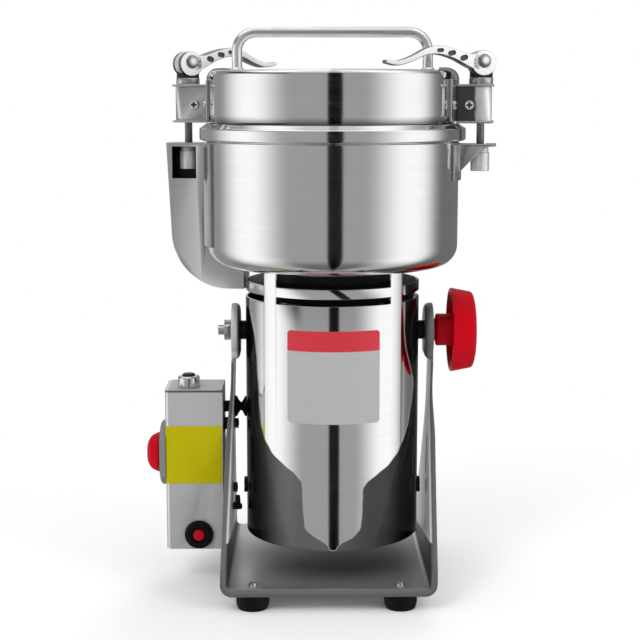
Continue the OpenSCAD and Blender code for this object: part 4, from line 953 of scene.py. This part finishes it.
# CAD pieces taken over with rounded edges
softPieces = {
    # node: (body, slot, material, edge in mm)
    "box_shell": ("stand", "box_paint", "box", 0.5),
    "box_top": ("stand", "box_paint", "box", 0.6),
    "timer_dial": ("stand", "dial_plate", "dial", 0.3),
    "power_switch": ("stand", "chrome_bezel", "chrome", 0.5),
    "power_button": ("power_key", "black_plastic", "black", 0.5),
    "reset_boot": ("stand", "black_rubber", "rubber", 0.6),
    "reset_button": ("reset_key", "red_button", "redKey", 0.5),
    "pivot_nut": ("mill", "nut_steel", "zinc", 0.5),
    "pivot_studs": ("mill", "screw_steel", "zinc", 0.4),
    "pivot_spacers": ("mill", "black_plastic", "black", 0.5),
    "handle_bracket": ("mill", "satin_steel", "grip", 1.1),
    "right_bracket": ("mill", "satin_steel", "bracket", 0.5),
    "lid_straps": ("lid", "satin_steel", "bracket", 0.45),
    "clamp_screws": ("lid", "screw_steel", "screw", 0.15),
    "clamp_collars": ("lid", "cast_metal", "collar", 0.5),
    "cam_cradles": ("lid", "black_plastic", "black", 0.3),
    "left_clamp_rod": ("left_rod", "screw_steel", "rod", 0.3),
    "right_clamp_rod": ("right_rod", "screw_steel", "rod", 0.3),
    "left_rod_nut": ("left_rod", "nut_steel", "nut", 0.7),
    "right_rod_nut": ("right_rod", "nut_steel", "nut", 0.7),
    "foot_screws": ("stand", "screw_steel", "zinc", 0.25),
    "brush_caps": ("mill", "black_plastic", "black", 0.4),
    "mains_gland": ("stand", "black_plastic", "black", 0.25),
    "cable_grommet": ("stand", "black_rubber", "rubber", 0.3),
}
for node, (body, slotName, key, edge) in softPieces.items():
    refine(node, body, slotName, materials[key], edge)
print("pieces with rounded edges:", len(softPieces))

# clamp housings: bent sheet with a plate above and below, in the frame of each clamp
housing = {"inner": 98.3, "outer": 123.2, "half": 13.0, "low": 368.4, "high": 394.4, "corner": 6.0,
           "plate": 1.8, "over": 1.5, "plateCorner": 2.0}


def housingOutline(grow, corner):
    h = housing
    half, out = h["half"] + grow, h["outer"] + grow
    side = rounded([(h["inner"] - 0.6, -half, 0), (out, -half, corner), (out, half, corner),
                    (h["inner"] - 0.6, half, 0)], 6)
    # the back follows the round lid
    back = [(math.sqrt(h["inner"] ** 2 - v * v), v) for v in [half * (1 - k / 6) for k in range(13)]]
    return [back[-1]] + [(p.x, p.y) for p in side[1:-1]] + back[:-1]


for side in (-1, 1):
    h, over, edge = housing, housing["over"], housing["plateCorner"]
    turn = Matrix.Rotation(math.radians(-clamp["turn"] if side > 0 else 180 - clamp["turn"]), 3, "Z")
    bm = bmesh.new()
    for grow, corner, low, high in ((0, h["corner"], h["low"] - 0.2, h["high"] + 0.2),
                                    (over, edge, h["low"] - h["plate"], h["low"]),
                                    (over, edge, h["high"], h["high"] + h["plate"])):
        prism(bm, housingOutline(grow, corner), high - low,
              lambda a, b, t, mid=(low + high) / 2: turn @ Vector((a, b, mid + t)))
    obj = newObject("clampHousing", bm, materials["housing"])
    soften(obj, 0.4 * mm, 2, 40)
    place(settle(obj, 36), "lid", "housing_steel", "clamp_housings")


def leverStations():
    # smooth curve through the points of the lever's middle line
    line, out = lever["line"], []
    for i in range(len(line) - 1):
        near = (line[max(0, i - 1)], line[i], line[i + 1], line[min(len(line) - 1, i + 2)])
        for t in (0, 0.2, 0.4, 0.6, 0.8):
            out.append([b + 0.5 * t * (c - a + t * (2 * a - 5 * b + 4 * c - d + t * (3 * (b - c) + d - a)))
                        for a, b, c, d in zip(*near)])
    return out + [list(line[-1])]


def leverCutters(withRecesses):
    # room for the eye, and the ovals in both cheeks
    n = lever
    bm = bmesh.new()
    prism(bm, [(-20, -20), (n["slotEnd"], -20), (n["slotEnd"], 20), (-20, 20)], 2 * n["slotHalf"],
          lambda a, b, t: Vector((a, t, b)))
    cutters = [bm]
    for at, up, turn, length, wide in (n["recesses"] if withRecesses else ()):
        p, q = math.cos(math.radians(turn)), -math.sin(math.radians(turn))
        outline = [(at + b * p + a * q, up - b * q + a * p) for a, b in slotOutline(wide, length)]
        for side in (-1, 1):
            bm = bmesh.new()
            prism(bm, outline, 2 * n["recessDeep"],
                  lambda a, b, t, v=side * n["half"]: Vector((a, v + t, b)))
            cutters.append(bm)
    return cutters


# cam levers: a boss and a hooked arm, slotted for the rod's eye
for side, body in ((-1, "left"), (1, "right")):
    n, material = lever, materials[body + "Lever"]
    c, d, pin = leverFrame(side)
    swing = Matrix.Translation(pin) @ Matrix(((c, -d, 0, 0), (d, c, 0, 0), (0, 0, 1, 0), (0, 0, 0, 1)))
    bm = bmesh.new()
    rings = []
    for at, middle, thick in leverStations():
        half = n["half"] - 0.9 * max(0.0, (at - 44) / 32) ** 1.5
        rings.append([bm.verts.new(Vector((at, p.x, middle + p.y)) * mm) for p in rounded(
            [(0, -thick / 2, 0), (half, -thick / 2, 1.1), (half, thick / 2, 1.1), (-half, thick / 2, 1.1),
             (-half, -thick / 2, 1.1), (0, -thick / 2, 0)], 4)[:-1]])
    skin(bm, rings)
    arm = carve(newObject(body + "LeverArm", bm, material), leverCutters(True))
    bm = bmesh.new()
    lathe(bm, [(0, -n["half"], 0), (n["boss"], -n["half"], 1.0), (n["boss"], n["half"], 1.0),
               (0, n["half"], 0)], 4, 96, (0, 0, -n["drop"]), "-Y")
    boss = carve(newObject(body + "LeverBoss", bm, material), leverCutters(False))
    for obj in (arm, boss):
        obj.data.transform(swing)
        place(settle(obj, 40), body + "_lever", "cast_metal", body + "_cam_lever")
print("levers made")

# yellow film that runs round the box's front left corner
film = {"left": -132.3, "right": -87.4, "front": -22.0, "corner": 4.0, "bend": 75,
        "low": 83.0, "high": 129.5, "thick": 0.25}
r = film["corner"]
bend = [(film["left"] + r - r * math.sin(a), film["front"] + r - r * math.cos(a))
        for a in [math.radians(film["bend"] * (1 - k / 10)) for k in range(11)]]
path = [Vector(p) for p in bend + [(film["right"], film["front"])]]
outer = []
for k, p in enumerate(path):
    along = (path[min(k + 1, len(path) - 1)] - path[max(k - 1, 0)]).normalized()
    outer.append(p + Vector((along.y, -along.x)) * film["thick"])
bm = bmesh.new()
prism(bm, [(p.x, p.y) for p in path + outer[::-1]], film["high"] - film["low"],
      lambda a, b, t: Vector((a, b, (film["low"] + film["high"]) / 2 + t)))
addPiece("boxFilm", bm, "yellow", "stand", "yellow_label", "box_label")

# the lead: two rubber boots that meet, between the arm and the barrel
lead = {"z": 141.0, "left": -77.95, "inBox": 26, "small": 4.5, "neck": 3.4, "boot": 8.6, "end": 9.5}
small, neck, end = lead["small"], lead["neck"], lead["end"]
bm = bmesh.new()
lathe(bm, [
    (0, -lead["inBox"], 0), (small, -lead["inBox"], 0), (small, -1, 0.5), (lead["boot"], 0, 1),
    (8.0, 1.2, 0.8), (neck, 4.6, 1.2), (neck, 5.6, 1.0), (8.2, 8.2, 0.8), (8.2, end, 0.3), (0, end, 0)],
    4, 48, (lead["left"], 0, lead["z"]), "X")
cable = settle(newObject("motorLead", bm, materials["rubber"]))
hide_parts("motor_cable")
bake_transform(cable)

# CAD pieces that keep their shape and only take a finish
plainPieces = {
    "darkInside": ("timer_body", "overload_breaker", "barrel_floor", "upper_bracket", "lower_bracket",
                   "cooling_fan"),
    "zinc": ("bearings", "motor_shaft"), "iron": ("stator_core", "armature"),
    "copper": ("stator_windings", "commutator"), "nut": ("blade_spacers", "blade_nut"),
    "black": ("box_spacers",), "cream": ("terminal_block",), "brass": ("brush_holders",),
    "carbon": ("brushes",), "rubber": ("shaft_seal",), "blade": ("blades",), "lid": ("lid_liner",),
    "seal": ("lid_seal",)}
for key, plainNodes in plainPieces.items():
    for node in plainNodes:
        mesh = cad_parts[node].data
        mesh.materials.clear()
        mesh.materials.append(materials[key])
        mesh.shade_smooth()
        mesh.set_sharp_from_angle(angle=math.radians(30))
print("plain pieces finished:", sum(map(len, plainPieces.values())))


# pale floor that turns white further out, and that reflections pass through
room = {"floorSize": 8.0, "floor": (0.96, 0.96, 0.96), "whiteFrom": 0.24, "whiteTo": 0.62}
g = finish("paleFloor", colour=room["floor"], rough=0.9, gloss=0.0)
nodes = g.tree.nodes
x, y, z = g.parts()
distance = (x * x + y * y).root()
white = g.add("ShaderNodeEmission", values={"Color": (1, 1, 1), "Strength": 1.0})
clear = g.add("ShaderNodeBsdfTransparent")
isGlossy = g.add("ShaderNodeLightPath", out=3)
soft = g.add("ShaderNodeMixShader", values={0: distance.fade(room["whiteFrom"], room["whiteTo"]),
                                            1: Sock(g, nodes["Principled BSDF"].outputs[0]), 2: white})
g.feed(nodes["Material Output"].inputs["Surface"],
       g.add("ShaderNodeMixShader", values={0: isGlossy, 1: soft, 2: clear}))
bm = bmesh.new()
bmesh.ops.create_grid(bm, x_segments=8, y_segments=8, size=room["floorSize"] / 2)
floorMaterial = g.material
newObject("floor", bm, floorMaterial)

world = bpy.data.worlds.new("studio")
bpy.context.scene.world = world
world.use_nodes = True
g = Graph(world.node_tree)
x, y, z = g.parts(g.add("ShaderNodeTexCoord", out=0))
heading = x.calc("ARCTAN2", x, 0 - y)   # 0 towards the front, positive to the right
studio = {"plain": 0.39, "diffuse": 0.80,
          # heading, half width and soft edge in degrees, strength; the last one is the dark strip in front
          "panels": ((-135, 14, 24, 0.31), (-84, 4, 42, 1.19), (74, 4, 44, 1.18), (150, 30, 30, 0.17),
                     (180, 11, 7, 0.3), (-180, 11, 7, 1.0), (1.5, 5.9, 1.8, 0.004)),
          # change of the light between two heights, where 1 is straight up: from, to, first, last
          "aboutHalf": (0.22, 0.5, 1.0, 0.8), "overhead": (0.42, 0.85, 0.0, 0.6),
          "underneath": (-0.95, -0.45, 0.4, 1.0),
          # darker on the left at half height: heading and height, each with half width and soft edge
          "leftHeading": (-85, 33, 15), "leftHeight": (0.47, 0.12, 0.1), "leftDark": 0.9}
light = heading * 0 + studio["plain"]
for *angles, strength in studio["panels"]:
    mask = heading.near(*[math.radians(angle) for angle in angles])
    light = light * (1 - mask) + mask * strength
light = light * z.fade(*studio["aboutHalf"]) + z.fade(*studio["overhead"])
light = light * z.fade(*studio["underneath"])
leftSide = heading.near(*[math.radians(angle) for angle in studio["leftHeading"]])
light = light * (1 - leftSide * z.near(*studio["leftHeight"]) * studio["leftDark"])
isCamera = g.add("ShaderNodeLightPath", out=0)
isGlossy = g.add("ShaderNodeLightPath", out=3)
level = light * isGlossy + (1 - isGlossy) * studio["diffuse"]
level = level * (1 - isCamera) + isCamera
background = world.node_tree.nodes["Background"]
tone = g.add("ShaderNodeCombineColor", values={0: level, 1: level, 2: level})
g.feed(background.inputs["Color"], tone)
background.inputs["Strength"].default_value = 1.0

# place, size and power of the three soft lamps
lamps = {"key": ((-0.9, -1.3, 1.5), 0.9, 11.0), "fill": ((1.3, -1.0, 1.0), 0.8, 6.0),
         "rear": ((0.3, 1.5, 1.3), 0.9, 7.0)}
for name, (where, size, power) in lamps.items():
    data = bpy.data.lights.new(name, "AREA")
    data.shape, data.size, data.energy = "DISK", size, power
    lamp = bpy.data.objects.new(name, data)
    lamp.location = where
    lamp.rotation_euler = (Vector((0, 0, 0.2)) - Vector(where)).to_track_quat("-Z", "Y").to_euler()
    lamp.visible_glossy = False
    bpy.context.scene.collection.objects.link(lamp)

view = {"place": (-21.71, -1151.24, 388.18), "down": 8.76, "right": 0.60, "lens": 82.23}
camera = bpy.data.cameras.new("camera")
camera.lens, camera.sensor_width = view["lens"], 36.0
cameraObject = bpy.data.objects.new("camera", camera)
cameraObject.location = Vector(view["place"]) * mm
cameraObject.rotation_euler = (math.radians(90 - view["down"]), 0, -math.radians(view["right"]))
bpy.context.scene.collection.objects.link(cameraObject)
bpy.context.scene.camera = cameraObject
bpy.context.scene.view_settings.view_transform = "Standard"
print("room, light and camera set")
